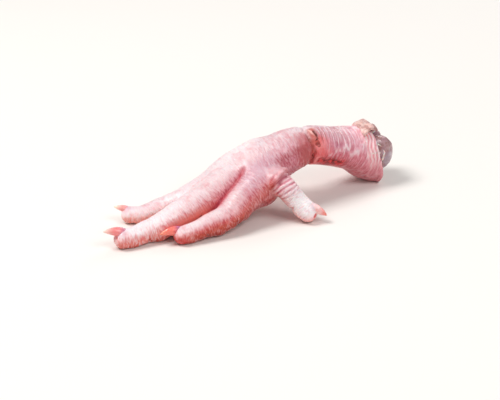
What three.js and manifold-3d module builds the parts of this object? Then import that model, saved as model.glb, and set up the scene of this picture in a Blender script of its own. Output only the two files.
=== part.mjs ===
// Raw chicken foot: a right foot cut off at the hock, three front toes and a hind toe, with the shank
// bent in its middle, so that the foot stands as a low arch on its toes, its hind toe and its cut end.
// Millimetres, +Z up, the toes towards -X and the cut end towards +X, the hind toe on the -Y side.
import * as THREE from "three";
import { mergeVertices } from "three/addons/utils/BufferGeometryUtils.js";
import Module from "manifold-3d";

const wasm = await Module();
wasm.setup();

// ---------------------------------------------------------------- driving sizes
const SHIFT = [4.36, 6.11, 0.0]; // moves the foot so that the origin is at the middle of its outline, on the ground
const GROUND = 0.0; // the soles are flattened where they rest
const CELL = 2.4; // mean edge of the skin's facets
const CELL_JOINT = 1.9; // mean edge of the joint end's facets
const CELL_BORE = 2.1; // mean edge of the facets of the hole that the joint end sits in
const GAP = 0.32; // clearance between neighbouring pieces
const SPAN_STEPS = 9; // steps of a limb's axis between two stations

// Stations of each limb's axis: x, y, z, half width, half height.
const LIMBS = {
  middle: [
    [-69.5, -7.7, 3.8, 4.1, 4.1],
    [-63.6, -7.8, 4.1, 4.6, 4.5],
    [-57.8, -7.1, 4.6, 5.2, 5.0],
    [-51.2, -7.1, 5.6, 5.9, 5.9],
    [-40.9, -5.1, 7.8, 6.6, 6.6],
    [-27.3, -2.9, 11.2, 8.0, 7.4],
    [-12.8, 0.4, 15.2, 9.0, 8.4],
    [0.8, 2.3, 18.2, 9.5, 9.0],
  ],
  outer: [
    [-57.9, 13.8, 3.6, 3.8, 3.7],
    [-52.5, 11.8, 3.8, 4.1, 3.8],
    [-44.8, 11.4, 4.8, 4.7, 4.5],
    [-38.4, 9.9, 6.4, 5.3, 4.9],
    [-31.7, 8.0, 8.8, 5.9, 5.3],
    [-21.3, 7.5, 12.4, 6.8, 6.1],
    [-7.6, 9.3, 17.6, 8.0, 7.2],
    [3.3, 7.3, 21.2, 8.6, 8.2],
  ],
  inner: [
    [-44.7, -16.5, 3.9, 4.1, 4.1],
    [-38.3, -16.6, 4.4, 4.6, 4.4],
    [-31.2, -16.2, 5.5, 5.3, 5.1],
    [-23.4, -15.8, 7.1, 6.2, 5.7],
    [-14.4, -12.3, 10.8, 7.2, 7.0],
    [-4.3, -8.9, 15.2, 8.6, 8.6],
  ],
  shank: [
    [-0.3, 2.3, 17.8, 11.5, 10.0],
    [6.6, 1.7, 20.4, 12.2, 10.3],
    [15.9, 1.5, 23.8, 11.0, 10.0],
    [23.6, 1.4, 24.8, 9.7, 9.4],
    [29.5, 1.9, 23.9, 9.0, 9.1],
    [39.0, 2.1, 21.2, 9.3, 9.3],
    [48.8, 2.5, 18.1, 10.2, 10.2],
    [57.5, 2.7, 14.1, 11.4, 12.7],
    [65.6, 1.7, 11.4, 12.4, 13.8],
  ],
  hind: [
    [3.6, -14.5, 18.8, 6.5, 6.0],
    [6.2, -17.2, 15.2, 5.3, 5.0],
    [9.6, -20.2, 9.8, 4.9, 4.6],
    [13.3, -24.6, 4.8, 4.7, 4.5],
  ],
};

// The digital pads under each toe: share of the axis's length, half length, how far they stand out below.
const PADS = {
  middle: [
    [0.06, 4.2, 0.3],
    [0.23, 4.6, 0.6],
    [0.4, 4.8, 0.9],
    [0.58, 5.2, 1.1],
  ],
  outer: [
    [0.07, 3.8, 0.3],
    [0.24, 3.8, 0.6],
    [0.4, 4.0, 0.8],
    [0.57, 4.4, 0.9],
  ],
  inner: [
    [0.08, 4.0, 0.3],
    [0.38, 4.6, 0.7],
    [0.68, 4.8, 1.2],
  ],
  hind: [[0.86, 4.0, 0.3]],
};
const PALM_PAD = { at: [-2.2, -6.2, 10.8], half: [9.2, 9.0, 6.2] }; // the cushion under the toes' roots

const JOIN = { at: [-1.2, 0.6, 17.8], most: 6.0, fall: 0.16, least: 0.9 }; // how softly the limbs run together round the palm
const WEB = { most: 4.2, least: 0.8, from: 39, to: 47 }; // the web between the middle and the outer toe ends 47 mm from there

const CREASE = { at: [25.0, 1.5, 24.6], half: 1.6, deep: 1.5 }; // the fold across the bent shank
const FOLD = { path: [[-0.4, -19.0, 17.7], [0.8, -18.8, 21.6], [3.9, -17.2, 23.6], [8.2, -12.6, 22.4], [12.4, -9.4, 19.8]], r: 1.5 }; // skin fold over the hind toe's root
const CUT = { at: [61.0, 1.8, 15.2], normal: [0.995, -0.05, 0.085] }; // the cut through the hock
const LIP = { at: [57.9, 2.2, 26.3], half: [5.3, 6.4, 1.7], tilt: -0.22 }; // the curled edge of skin on top of the cut

// The joint end: a cartilage-capped head of two lobes on the shaft of the leg bone.
const LOBE = { along: 62.3, side: 4.5, high: 15.0, half: [7.0, 5.4, 8.4] };
const LOBE_MID_Y = 1.9;
const SHAFT = { path: [[58.0, 2.6, 15.3], [48.8, 2.5, 18.1], [39.0, 2.1, 21.2], [33.0, 2.0, 23.0]], r: [5.6, 3.9, 3.4, 3.2] };

// Claws: where each leaves its toe, its point, half width, half height, how far it bows upwards.
const CLAWS = {
  middle: { from: [-69.9, -6.9, 6.2], to: [-77.7, -6.2, 7.8], w: 1.9, h: 2.2, bow: 0.9, root: 3.0 },
  outer: { from: [-58.6, 14.9, 5.3], to: [-63.6, 17.6, 6.6], w: 1.6, h: 1.8, bow: 0.7, root: 2.6 },
  inner: { from: [-46.4, -15.4, 5.2], to: [-54.6, -14.6, 4.6], w: 1.7, h: 1.9, bow: 0.9, root: 2.8 },
  hind: { from: [15.0, -25.6, 6.2], to: [20.0, -29.9, 3.8], w: 1.8, h: 2.0, bow: 0.8, root: 2.8 },
};
const CLAW_SIDES = 10;
const CLAW_RINGS = 8;

const COLOURS = { skin: 0xe8a99f, joint: 0xa99fb0, claw: 0xd98a8c };

// ---------------------------------------------------------------- small vector helpers
const add = (a, b) => [a[0] + b[0], a[1] + b[1], a[2] + b[2]];
const sub = (a, b) => [a[0] - b[0], a[1] - b[1], a[2] - b[2]];
const mul = (a, s) => [a[0] * s, a[1] * s, a[2] * s];
const dot = (a, b) => a[0] * b[0] + a[1] * b[1] + a[2] * b[2];
const cross = (a, b) => [a[1] * b[2] - a[2] * b[1], a[2] * b[0] - a[0] * b[2], a[0] * b[1] - a[1] * b[0]];
const len = (a) => Math.hypot(a[0], a[1], a[2]);
const unit = (a) => mul(a, 1 / (len(a) || 1));
const clamp = (v, lo, hi) => Math.min(hi, Math.max(lo, v));
const mix = (a, b, t) => a + (b - a) * t;

// Two surfaces run together over a width of about k.
function soft(a, b, k) {
  const h = clamp(0.5 + (0.5 * (b - a)) / k, 0, 1);
  return mix(b, a, h) - k * h * (1 - h);
}

// ---------------------------------------------------------------- limbs as tubes of elliptical section
function smoothRows(rows) {
  const n = rows.length;
  const ext = [rows[0].map((v, i) => 2 * v - rows[1][i]), ...rows, rows[n - 1].map((v, i) => 2 * v - rows[n - 2][i])];
  const out = [];
  for (let s = 1; s < n; s++)
    for (let j = 0; j < SPAN_STEPS; j++) {
      const t = j / SPAN_STEPS;
      out.push(
        ext[s].map((_, i) => {
          const [p0, p1, p2, p3] = [ext[s - 1][i], ext[s][i], ext[s + 1][i], ext[s + 2][i]];
          return 0.5 * (2 * p1 + (-p0 + p2) * t + (2 * p0 - 5 * p1 + 4 * p2 - p3) * t * t + (-p0 + 3 * p1 - 3 * p2 + p3) * t ** 3);
        }),
      );
    }
  out.push(rows[n - 1].slice());
  return out;
}

class Limb {
  constructor(rows) {
    const c = smoothRows(rows);
    this.p = c.map((r) => r.slice(0, 3));
    this.a = c.map((r) => r[3]);
    this.b = c.map((r) => r[4]);
    const last = c.length - 1;
    this.t = this.p.map((_, i) => unit(sub(this.p[Math.min(last, i + 1)], this.p[Math.max(0, i - 1)])));
    this.s = this.t.map((t) => unit(cross(t, [0, 0, 1])));
    this.u = this.t.map((t, i) => cross(this.s[i], t));
    this.l = [0];
    for (let i = 1; i <= last; i++) this.l.push(this.l[i - 1] + len(sub(this.p[i], this.p[i - 1])));
    this.length = this.l[last];
    this.lo = [0, 1, 2].map((k) => Math.min(...this.p.map((q) => q[k])) - 22);
    this.hi = [0, 1, 2].map((k) => Math.max(...this.p.map((q) => q[k])) + 22);
  }
  // The nearest place on the axis: index and share of that step.
  near(P) {
    let best = 1e9, bi = 0, bt = 0;
    for (let i = 0; i + 1 < this.p.length; i++) {
      const A = this.p[i], B = sub(this.p[i + 1], A), w = sub(P, A);
      const t = clamp(dot(w, B) / dot(B, B), 0, 1), d = len(sub(w, mul(B, t)));
      if (d < best) [best, bi, bt] = [d, i, t];
    }
    return [bi, bt];
  }
  at(list, i, t) {
    return Array.isArray(list[i]) ? [0, 1, 2].map((k) => mix(list[i][k], list[i + 1][k], t)) : mix(list[i], list[i + 1], t);
  }
  // Signed distance, with the place along the limb and round its section.
  distance(P) {
    for (let k = 0; k < 3; k++) if (P[k] < this.lo[k] || P[k] > this.hi[k]) return { d: 1e3, l: 0, y: 0, z: 0 };
    const [i, t] = this.near(P);
    const c = this.at(this.p, i, t), T = this.at(this.t, i, t), S = this.at(this.s, i, t), U = this.at(this.u, i, t);
    const a = this.at(this.a, i, t), b = this.at(this.b, i, t), l = this.at(this.l, i, t);
    const w = sub(P, c), x = dot(w, T), y = dot(w, S), z = dot(w, U), r = Math.min(a, b);
    const k0 = Math.hypot(x / r, y / a, z / b), k1 = Math.hypot(x / r ** 2, y / a ** 2, z / b ** 2);
    return { d: k0 < 1e-6 ? -r : (k0 * (k0 - 1)) / Math.max(k1, 1e-9), l, y: y / a, z: z / b };
  }
  place(share) {
    const want = share * this.length;
    let i = 0;
    while (i + 2 < this.l.length && this.l[i + 1] < want) i++;
    const t = (want - this.l[i]) / (this.l[i + 1] - this.l[i]);
    return { c: this.at(this.p, i, t), T: unit(this.at(this.t, i, t)), S: unit(this.at(this.s, i, t)), U: unit(this.at(this.u, i, t)), a: this.at(this.a, i, t), b: this.at(this.b, i, t) };
  }
}

const limbs = Object.fromEntries(Object.entries(LIMBS).map(([k, rows]) => [k, new Limb(rows)]));

function ellipsoid(P, c, axes, half) {
  const w = sub(P, c), q = axes.map((v) => dot(w, v));
  const k0 = Math.hypot(q[0] / half[0], q[1] / half[1], q[2] / half[2]);
  const k1 = Math.hypot(q[0] / half[0] ** 2, q[1] / half[1] ** 2, q[2] / half[2] ** 2);
  return k0 < 1e-6 ? -Math.min(...half) : (k0 * (k0 - 1)) / Math.max(k1, 1e-9);
}
const SQUARE = [[1, 0, 0], [0, 1, 0], [0, 0, 1]];

// Distance to a chain of balls whose radius changes along it.
function chain(P, path, radii) {
  let best = 1e9;
  for (let i = 0; i + 1 < path.length; i++) {
    const B = sub(path[i + 1], path[i]), w = sub(P, path[i]), t = clamp(dot(w, B) / dot(B, B), 0, 1);
    best = Math.min(best, len(sub(w, mul(B, t))) - mix(radii[i], radii[i + 1], t));
  }
  return best;
}

const pads = [];
for (const [name, list] of Object.entries(PADS))
  for (const [share, half, out] of list) {
    const q = limbs[name].place(share);
    pads.push({ limb: name, c: add(q.c, mul(q.U, -0.36 * q.b)), axes: [q.T, q.S, q.U], half: [half, 0.9 * q.a, 0.64 * q.b + out] });
  }
const creaseAt = (() => {
  const [i, t] = limbs.shank.near(CREASE.at);
  return limbs.shank.at(limbs.shank.l, i, t);
})();
const cutNormal = unit(CUT.normal);

// The whole skin's surface as a signed distance.
function skin(P) {
  const far = len(sub(P, JOIN.at));
  const k = clamp(JOIN.most - (far - 8) * JOIN.fall, JOIN.least, JOIN.most);
  const web = mix(WEB.most, WEB.least, clamp((far - WEB.from) / (WEB.to - WEB.from), 0, 1));
  const d = {};
  for (const name of Object.keys(limbs)) d[name] = limbs[name].distance(P);
  const one = Object.fromEntries(Object.keys(d).map((n) => [n, d[n].d]));
  for (const pad of pads) if (one[pad.limb] < 8) one[pad.limb] = soft(one[pad.limb], ellipsoid(P, pad.c, pad.axes, pad.half), 1.0);
  const s = d.shank;
  if (s.d < 8) one.shank += CREASE.deep * Math.exp(-(((s.l - creaseAt) / CREASE.half) ** 2)) * (0.45 + 0.55 * clamp(0.8 * s.y - 0.3 * s.z + 0.3, 0, 1));
  let all = soft(one.middle, one.outer, web);
  all = soft(all, one.inner, k);
  all = soft(all, one.shank, k);
  all = soft(all, ellipsoid(P, PALM_PAD.at, SQUARE, PALM_PAD.half), 3.0);
  all = soft(all, one.hind, Math.min(k, 2.6));
  if (all < 8) {
    all = soft(all, chain(P, FOLD.path, FOLD.path.map(() => FOLD.r)), 1.3);
  }
  return all;
}

function joint(P, grow = 0) {
  const lobe = (side) => ellipsoid(P, [LOBE.along, LOBE_MID_Y + side * LOBE.side, LOBE.high], SQUARE, LOBE.half);
  let d = soft(lobe(-1), lobe(1), 1.2);
  d = soft(d, chain(P, SHAFT.path, SHAFT.r), 3.0);
  return d - grow;
}

// ---------------------------------------------------------------- closed surface of a signed distance
// One vertex for each sheet of the surface in each cell that it crosses, moved onto the surface, and a
// pair of triangles across each grid edge that it crosses.
function surface(f, lo, hi, cell) {
  const n = [0, 1, 2].map((k) => Math.ceil((hi[k] - lo[k]) / cell) + 1);
  const at = (i, j, k) => (i * n[1] + j) * n[2] + k;
  const v = new Float64Array(n[0] * n[1] * n[2]);
  for (let i = 0; i < n[0]; i++) for (let j = 0; j < n[1]; j++) for (let k = 0; k < n[2]; k++) v[at(i, j, k)] = f([lo[0] + i * cell, lo[1] + j * cell, lo[2] + k * cell]);
  const id = new Int32Array(v.length * 8 * 3).fill(-1), points = [];
  const slot = (i, j, k, a, axis) => (at(i, j, k) * 8 + a) * 3 + axis; // the cell's edge from corner a along axis
  const corner = [];
  for (let c = 0; c < 8; c++) corner.push([c & 1, (c >> 1) & 1, (c >> 2) & 1]);
  for (let i = 0; i + 1 < n[0]; i++)
    for (let j = 0; j + 1 < n[1]; j++)
      for (let k = 0; k + 1 < n[2]; k++) {
        const val = corner.map((c) => v[at(i + c[0], j + c[1], k + c[2])]);
        const inside = val.filter((q) => q < 0).length;
        if (!inside || inside === 8) continue;
        // The crossed edges, joined across each face of the cell into one group for each sheet of surface.
        const group = new Map();
        const key = (a, b) => Math.min(a, b) * 8 + Math.max(a, b);
        const find = (q) => (group.get(q) === q ? q : find(group.get(q)));
        for (let a = 0; a < 8; a++) for (const bit of [1, 2, 4]) if (!(a & bit) && val[a] < 0 !== val[a | bit] < 0) group.set(key(a, a | bit), key(a, a | bit));
        for (const bit of [1, 2, 4])
          for (const base of [0, bit]) {
            const [p, q] = [1, 2, 4].filter((m) => m !== bit);
            const ring = [base, base | p, base | p | q, base | q];
            const crossed = ring.map((c, m) => key(c, ring[(m + 1) % 4])).filter((c) => group.has(c));
            if (crossed.length === 2) group.set(find(crossed[0]), find(crossed[1]));
            else if (crossed.length === 4)
              ring.forEach((c, m) => {
                if (val[c] < 0) group.set(find(key(c, ring[(m + 1) % 4])), find(key(c, ring[(m + 3) % 4])));
              });
          }
        const sheets = new Map();
        for (const q of group.keys()) {
          const r = find(q), a = q >> 3, b = q & 7, t = val[a] / (val[a] - val[b]);
          if (!sheets.has(r)) sheets.set(r, { sum: [0, 0, 0], edges: [] });
          const s = sheets.get(r);
          s.sum = add(s.sum, [0, 1, 2].map((m) => mix(corner[a][m], corner[b][m], t)));
          s.edges.push([a, [1, 2, 4].indexOf(b ^ a)]);
        }
        for (const s of sheets.values()) {
          for (const [a, axis] of s.edges) id[slot(i, j, k, a, axis)] = points.length;
          points.push([0, 1, 2].map((q) => lo[q] + cell * ([i, j, k][q] + s.sum[q] / s.edges.length)));
        }
      }
  const e = 0.02;
  const moved = points.map((p0) => {
    let p = p0;
    for (let round = 0; round < 3; round++) {
      const d = f(p);
      const g = [0, 1, 2].map((q) => {
        const a = p.slice(), b = p.slice();
        a[q] += e;
        b[q] -= e;
        return (f(a) - f(b)) / (2 * e);
      });
      let step = mul(g, -d / Math.max(dot(g, g), 0.1));
      if (len(step) > 0.3 * cell) step = mul(unit(step), 0.3 * cell);
      p = add(p, step);
    }
    return p;
  });
  const index = [];
  const unitStep = [[1, 0, 0], [0, 1, 0], [0, 0, 1]];
  for (let ax = 0; ax < 3; ax++) {
    const u = unitStep[(ax + 1) % 3], w = unitStep[(ax + 2) % 3], o = unitStep[ax];
    const ub = 1 << ((ax + 1) % 3), wb = 1 << ((ax + 2) % 3);
    for (let i = 0; i + o[0] < n[0]; i++)
      for (let j = 0; j + o[1] < n[1]; j++)
        for (let k = 0; k + o[2] < n[2]; k++) {
          const a = v[at(i, j, k)] < 0, b = v[at(i + o[0], j + o[1], k + o[2])] < 0;
          if (a === b) continue;
          const from = (su, sw) => id[slot(i - su * u[0] - sw * w[0], j - su * u[1] - sw * w[1], k - su * u[2] - sw * w[2], su * ub + sw * wb, ax)];
          const q = [from(1, 1), from(0, 1), from(0, 0), from(1, 0)];
          if (!a) q.reverse();
          const P = q.map((m) => moved[m]);
          if (len(sub(P[0], P[2])) <= len(sub(P[1], P[3]))) index.push(q[0], q[1], q[2], q[0], q[2], q[3]);
          else index.push(q[0], q[1], q[3], q[1], q[2], q[3]);
        }
  }
  const g = new THREE.BufferGeometry();
  g.setAttribute("position", new THREE.Float32BufferAttribute(moved.flat(), 3));
  g.setIndex(index);
  return g;
}

// ---------------------------------------------------------------- claws as bowed, tapered horns
function horn({ from, to, w, h, bow, root }, grow = 0) {
  const axis = unit(sub(to, from)), length = len(sub(to, from));
  const side = unit(cross(axis, [0, 0, 1])), up = cross(side, axis);
  const rings = [];
  for (let i = 0; i <= CLAW_RINGS; i++) {
    const t = mix(-root / length, 1, i / CLAW_RINGS), out = clamp(t, 0, 1);
    const c = add(add(from, mul(axis, t * length)), mul(up, bow * 4 * out * (1 - out) * (1 - 0.3 * out)));
    const r = t < 0 ? mix(0.72, 1, 1 + (t * length) / root) : Math.sqrt(Math.max(0, 1 - out ** 1.35)) * 0.86 + 0.14;
    rings.push({ c, a: w * r + grow, b: h * r + grow });
  }
  const pos = [], index = [], N = CLAW_SIDES;
  for (const r of rings)
    for (let j = 0; j < N; j++) {
      const f = (2 * Math.PI * j) / N;
      pos.push(...add(r.c, add(mul(side, Math.cos(f) * r.a), mul(up, Math.sin(f) * r.b))));
    }
  const first = rings[0], lastR = rings[rings.length - 1];
  pos.push(...add(first.c, mul(axis, -0.5 - grow)), ...add(lastR.c, mul(axis, 0.3 + grow)));
  const A = rings.length * N, B = A + 1, L = (rings.length - 1) * N;
  for (let i = 0; i + 1 < rings.length; i++)
    for (let j = 0; j < N; j++) {
      const a = i * N + j, b = i * N + ((j + 1) % N);
      index.push(a, b + N, b, a, a + N, b + N);
    }
  for (let j = 0; j < N; j++) {
    index.push(A, j, (j + 1) % N);
    index.push(B, L + ((j + 1) % N), L + j);
  }
  const g = new THREE.BufferGeometry();
  g.setAttribute("position", new THREE.Float32BufferAttribute(pos, 3));
  g.setIndex(index);
  return g;
}

// ---------------------------------------------------------------- cutting
function toSolid(geometry) {
  const g = mergeVertices(geometry, 1e-4);
  const make = (tri) => new wasm.Manifold(new wasm.Mesh({ numProp: 3, vertProperties: new Float32Array(g.attributes.position.array), triVerts: tri }));
  const tri = new Uint32Array(g.index.array);
  const made = make(tri);
  if (made.volume() > 0) return made;
  for (let i = 0; i < tri.length; i += 3) [tri[i + 1], tri[i + 2]] = [tri[i + 2], tri[i + 1]];
  return make(tri);
}
function toGeometry(solid) {
  const m = solid.getMesh(), n = m.numProp, v = new Float32Array(m.numVert * 3);
  for (let i = 0; i < m.numVert; i++) v.set(m.vertProperties.subarray(i * n, i * n + 3), i * 3);
  const g = new THREE.BufferGeometry();
  g.setAttribute("position", new THREE.BufferAttribute(v, 3));
  g.setIndex(new THREE.BufferAttribute(new Uint32Array(m.triVerts), 1));
  g.computeVertexNormals();
  return g;
}

// The lip is an ellipsoid half sunk in the skin's upper edge, and the two cuts are the faces of large blocks.
function lip() {
  const g = new THREE.SphereGeometry(1, 18, 12);
  g.deleteAttribute("normal");
  g.deleteAttribute("uv");
  g.applyMatrix4(new THREE.Matrix4().makeScale(...LIP.half));
  g.applyMatrix4(new THREE.Matrix4().makeRotationY(-LIP.tilt));
  return g.applyMatrix4(new THREE.Matrix4().makeTranslation(...LIP.at));
}
function block(at, normal, size = 120) {
  const g = new THREE.BoxGeometry(size, size, size);
  g.deleteAttribute("normal");
  g.deleteAttribute("uv");
  g.applyMatrix4(new THREE.Matrix4().makeTranslation(0, 0, size / 2));
  g.applyMatrix4(new THREE.Matrix4().makeRotationFromQuaternion(new THREE.Quaternion().setFromUnitVectors(new THREE.Vector3(0, 0, 1), new THREE.Vector3(...normal))));
  return g.applyMatrix4(new THREE.Matrix4().makeTranslation(...at));
}

let flesh = toSolid(surface(skin, [-79, -32, -2.4], [86, 26, 38], CELL));
flesh = flesh.subtract(toSolid(block(CUT.at, cutNormal)));
flesh = flesh.subtract(toSolid(block([0, 0, GROUND], [0, 0, -1], 400)));
flesh = flesh.add(toSolid(lip()));
const bore = toSolid(surface((P) => joint(P, GAP + 0.12), [27, -13, 0], [76, 17, 30], CELL_BORE));
flesh = flesh.subtract(bore);
for (const c of Object.values(CLAWS)) flesh = flesh.subtract(toSolid(horn(c, GAP)));
// Crumbs that the cuts leave are dropped.
flesh = flesh.decompose().sort((a, b) => b.volume() - a.volume())[0];

const jointEnd = toSolid(surface(joint, [27, -13, 0], [76, 17, 30], CELL_JOINT));

const group = new THREE.Group();
group.name = "raw_chicken_foot";
group.position.set(...SHIFT);
function piece(name, geometry, colour, roughness) {
  const mesh = new THREE.Mesh(geometry, new THREE.MeshStandardMaterial({ color: colour, roughness, metalness: 0 }));
  mesh.name = name;
  group.add(mesh);
}
piece("foot_flesh", toGeometry(flesh), COLOURS.skin, 0.45);
piece("joint_end", toGeometry(jointEnd), COLOURS.joint, 0.3);
for (const [name, c] of Object.entries(CLAWS)) piece("claw_" + name, toGeometry(toSolid(horn(c))), COLOURS.claw, 0.35);

export default group;
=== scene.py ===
"""Raw chicken foot, cut off at the hock and bent at mid shank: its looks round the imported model."""
import math
import time

import bpy
import numpy as np
from mathutils import Matrix, Vector


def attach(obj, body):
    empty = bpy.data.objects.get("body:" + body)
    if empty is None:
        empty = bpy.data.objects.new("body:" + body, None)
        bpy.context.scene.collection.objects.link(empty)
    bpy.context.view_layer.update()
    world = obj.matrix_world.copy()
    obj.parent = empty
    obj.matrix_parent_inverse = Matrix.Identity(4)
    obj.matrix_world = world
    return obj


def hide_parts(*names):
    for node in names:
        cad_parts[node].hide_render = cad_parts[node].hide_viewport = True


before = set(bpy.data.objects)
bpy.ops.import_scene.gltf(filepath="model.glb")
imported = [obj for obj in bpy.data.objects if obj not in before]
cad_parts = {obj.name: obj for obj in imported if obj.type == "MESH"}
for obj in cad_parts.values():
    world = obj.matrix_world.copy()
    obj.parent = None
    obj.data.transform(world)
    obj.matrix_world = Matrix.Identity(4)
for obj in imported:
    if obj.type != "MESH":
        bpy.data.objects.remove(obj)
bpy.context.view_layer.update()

T0 = time.time()

# ------------------------------------------------------------------ sizes, in millimetres
SHIFT = np.array([4.36, 6.11, 0.0])
SPAN_STEPS = 9
LIMBS = {
    "middle": [[-69.5, -7.7, 3.8, 4.1, 4.1], [-63.6, -7.8, 4.1, 4.6, 4.5], [-57.8, -7.1, 4.6, 5.2, 5.0], [-51.2, -7.1, 5.6, 5.9, 5.9], [-40.9, -5.1, 7.8, 6.6, 6.6], [-27.3, -2.9, 11.2, 8.0, 7.4], [-12.8, 0.4, 15.2, 9.0, 8.4], [0.8, 2.3, 18.2, 9.5, 9.0]],
    "outer": [[-57.9, 13.8, 3.6, 3.8, 3.7], [-52.5, 11.8, 3.8, 4.1, 3.8], [-44.8, 11.4, 4.8, 4.7, 4.5], [-38.4, 9.9, 6.4, 5.3, 4.9], [-31.7, 8.0, 8.8, 5.9, 5.3], [-21.3, 7.5, 12.4, 6.8, 6.1], [-7.6, 9.3, 17.6, 8.0, 7.2], [3.3, 7.3, 21.2, 8.6, 8.2]],
    "inner": [[-44.7, -16.5, 3.9, 4.1, 4.1], [-38.3, -16.6, 4.4, 4.6, 4.4], [-31.2, -16.2, 5.5, 5.3, 5.1], [-23.4, -15.8, 7.1, 6.2, 5.7], [-14.4, -12.3, 10.8, 7.2, 7.0], [-4.3, -8.9, 15.2, 8.6, 8.6]],
    "shank": [[-0.3, 2.3, 17.8, 11.5, 10.0], [6.6, 1.7, 20.4, 12.2, 10.3], [15.9, 1.5, 23.8, 11.0, 10.0], [23.6, 1.4, 24.8, 9.7, 9.4], [29.5, 1.9, 23.9, 9.0, 9.1], [39.0, 2.1, 21.2, 9.3, 9.3], [48.8, 2.5, 18.1, 10.2, 10.2], [57.5, 2.7, 14.1, 11.4, 12.7], [65.6, 1.7, 11.4, 12.4, 13.8]],
    "hind": [[3.4, -14.0, 18.5, 5.9, 5.5], [6.2, -17.2, 15.2, 5.3, 5.0], [9.6, -20.2, 9.8, 4.9, 4.6], [13.3, -24.6, 4.8, 4.7, 4.5]],
}
PADS = {
    "middle": [[0.06, 4.2, 0.3], [0.23, 4.6, 0.6], [0.4, 4.8, 0.9], [0.58, 5.2, 1.1]],
    "outer": [[0.07, 3.8, 0.3], [0.24, 3.8, 0.6], [0.4, 4.0, 0.8], [0.57, 4.4, 0.9]],
    "inner": [[0.08, 4.0, 0.3], [0.38, 4.6, 0.7], [0.68, 4.8, 1.2]],
    "hind": [[0.86, 4.0, 0.3]],
}
PALM_PAD = ([-2.2, -6.2, 10.8], [9.2, 9.0, 6.2])
JOIN_AT, JOIN_MOST, JOIN_FALL, JOIN_LEAST = np.array([-1.2, 0.6, 17.8]), 6.0, 0.16, 0.9
WEB_MOST, WEB_LEAST, WEB_FROM, WEB_TO = 4.2, 0.8, 39.0, 47.0
CREASE_AT, CREASE_HALF, CREASE_DEEP = [25.0, 1.5, 24.6], 1.6, 1.5
FOLD_PATH, FOLD_R = [[0.7, -17.5, 17.7], [1.2, -17.9, 21.0], [3.8, -16.8, 22.9], [7.4, -12.5, 21.6], [11.6, -8.7, 20.0]], 0.72
CUT_AT, CUT_N = np.array([61.0, 1.8, 15.2]), np.array([0.995, -0.05, 0.085])
CUT_N = CUT_N / np.linalg.norm(CUT_N)
LOBE_ALONG, LOBE_SIDE, LOBE_HIGH, LOBE_HALF, LOBE_MID_Y = 62.3, 4.5, 15.0, [7.0, 5.4, 8.4], 1.9
SHAFT_PATH, SHAFT_R = [[58.0, 2.6, 15.3], [48.8, 2.5, 18.1], [39.0, 2.1, 21.2], [33.0, 2.0, 23.0]], [5.6, 3.9, 3.4, 3.2]
CLAWS = {
    "middle": dict(start=[-69.9, -6.9, 6.2], tip=[-77.7, -6.2, 7.8], w=1.9, h=2.2, bow=0.9, root=3.0),
    "outer": dict(start=[-58.6, 14.9, 5.3], tip=[-63.6, 17.6, 6.6], w=1.6, h=1.8, bow=0.7, root=2.6),
    "inner": dict(start=[-46.4, -15.4, 5.2], tip=[-54.6, -14.6, 4.6], w=1.7, h=1.9, bow=0.9, root=2.8),
    "hind": dict(start=[15.0, -25.6, 6.2], tip=[20.0, -29.9, 3.8], w=1.8, h=2.0, bow=0.8, root=2.8),
}
CELL = 0.72  # base grid of the skin, before one subdivision
SKIN_TRIANGLES = 198000


# ------------------------------------------------------------------ noise
def hashed(i, j, k, seed):
    h = i.astype(np.uint32) * np.uint32(0x8DA6B343) ^ j.astype(np.uint32) * np.uint32(0xD8163841) ^ k.astype(np.uint32) * np.uint32(0xCB1AB31F)
    h = h ^ np.uint32((seed * 0x9E3779B9) & 0xFFFFFFFF)
    h ^= h >> np.uint32(13)
    h *= np.uint32(0x5BD1E995)
    h ^= h >> np.uint32(15)
    h *= np.uint32(0x27D4EB2D)
    h ^= h >> np.uint32(13)
    return h.astype(np.float64) / 4294967296.0


def noise(P, size, seed):
    """Smooth noise, -1 to 1, with lumps of about that size."""
    q = np.asarray(P, float) / np.asarray(size, float)
    f = np.floor(q)
    t = q - f
    t = t * t * t * (t * (t * 6 - 15) + 10)
    i = f.astype(np.int64)
    out = np.zeros(len(q))
    for a in (0, 1):
        for b in (0, 1):
            for c in (0, 1):
                w = (t[:, 0] if a else 1 - t[:, 0]) * (t[:, 1] if b else 1 - t[:, 1]) * (t[:, 2] if c else 1 - t[:, 2])
                out += w * hashed(i[:, 0] + a, i[:, 1] + b, i[:, 2] + c, seed)
    return 2 * out - 1


def fbm(P, size, seed, octaves=3):
    out, amp, tot = 0.0, 1.0, 0.0
    for o in range(octaves):
        out = out + amp * noise(P, np.asarray(size, float) / 2**o, seed + 17 * o)
        tot += amp
        amp *= 0.5
    return out / tot


def cells(x, y, seed, jitter=0.85):
    """Nearest and second nearest cell centre, in cells, and a number for the cell."""
    i, j = np.floor(x).astype(np.int64), np.floor(y).astype(np.int64)
    f1, f2, who = np.full(len(x), 9.0), np.full(len(x), 9.0), np.zeros(len(x))
    for di in (-1, 0, 1):
        for dj in (-1, 0, 1):
            a, b = i + di, j + dj
            px = a + 0.5 + (hashed(a, b, a * 0, seed) - 0.5) * jitter
            py = b + 0.5 + (hashed(a, b, a * 0 + 1, seed) - 0.5) * jitter
            d = (x - px) ** 2 + (y - py) ** 2
            near = d < f1
            f2 = np.where(near, f1, np.minimum(f2, d))
            who = np.where(near, hashed(a, b, a * 0 + 2, seed), who)
            f1 = np.where(near, d, f1)
    return np.sqrt(f1), np.sqrt(f2), who


def step(lo, hi, v):
    t = np.clip((v - lo) / (hi - lo), 0, 1)
    return t * t * (3 - 2 * t)


def bell(v, half):
    return np.exp(-((v / half) ** 2))


# ------------------------------------------------------------------ signed distances
def smin(a, b, k):
    h = np.clip(0.5 + 0.5 * (b - a) / k, 0, 1)
    return b * (1 - h) + a * h - k * h * (1 - h)


def smax(a, b, k):
    return -smin(-a, -b, k)


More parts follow.
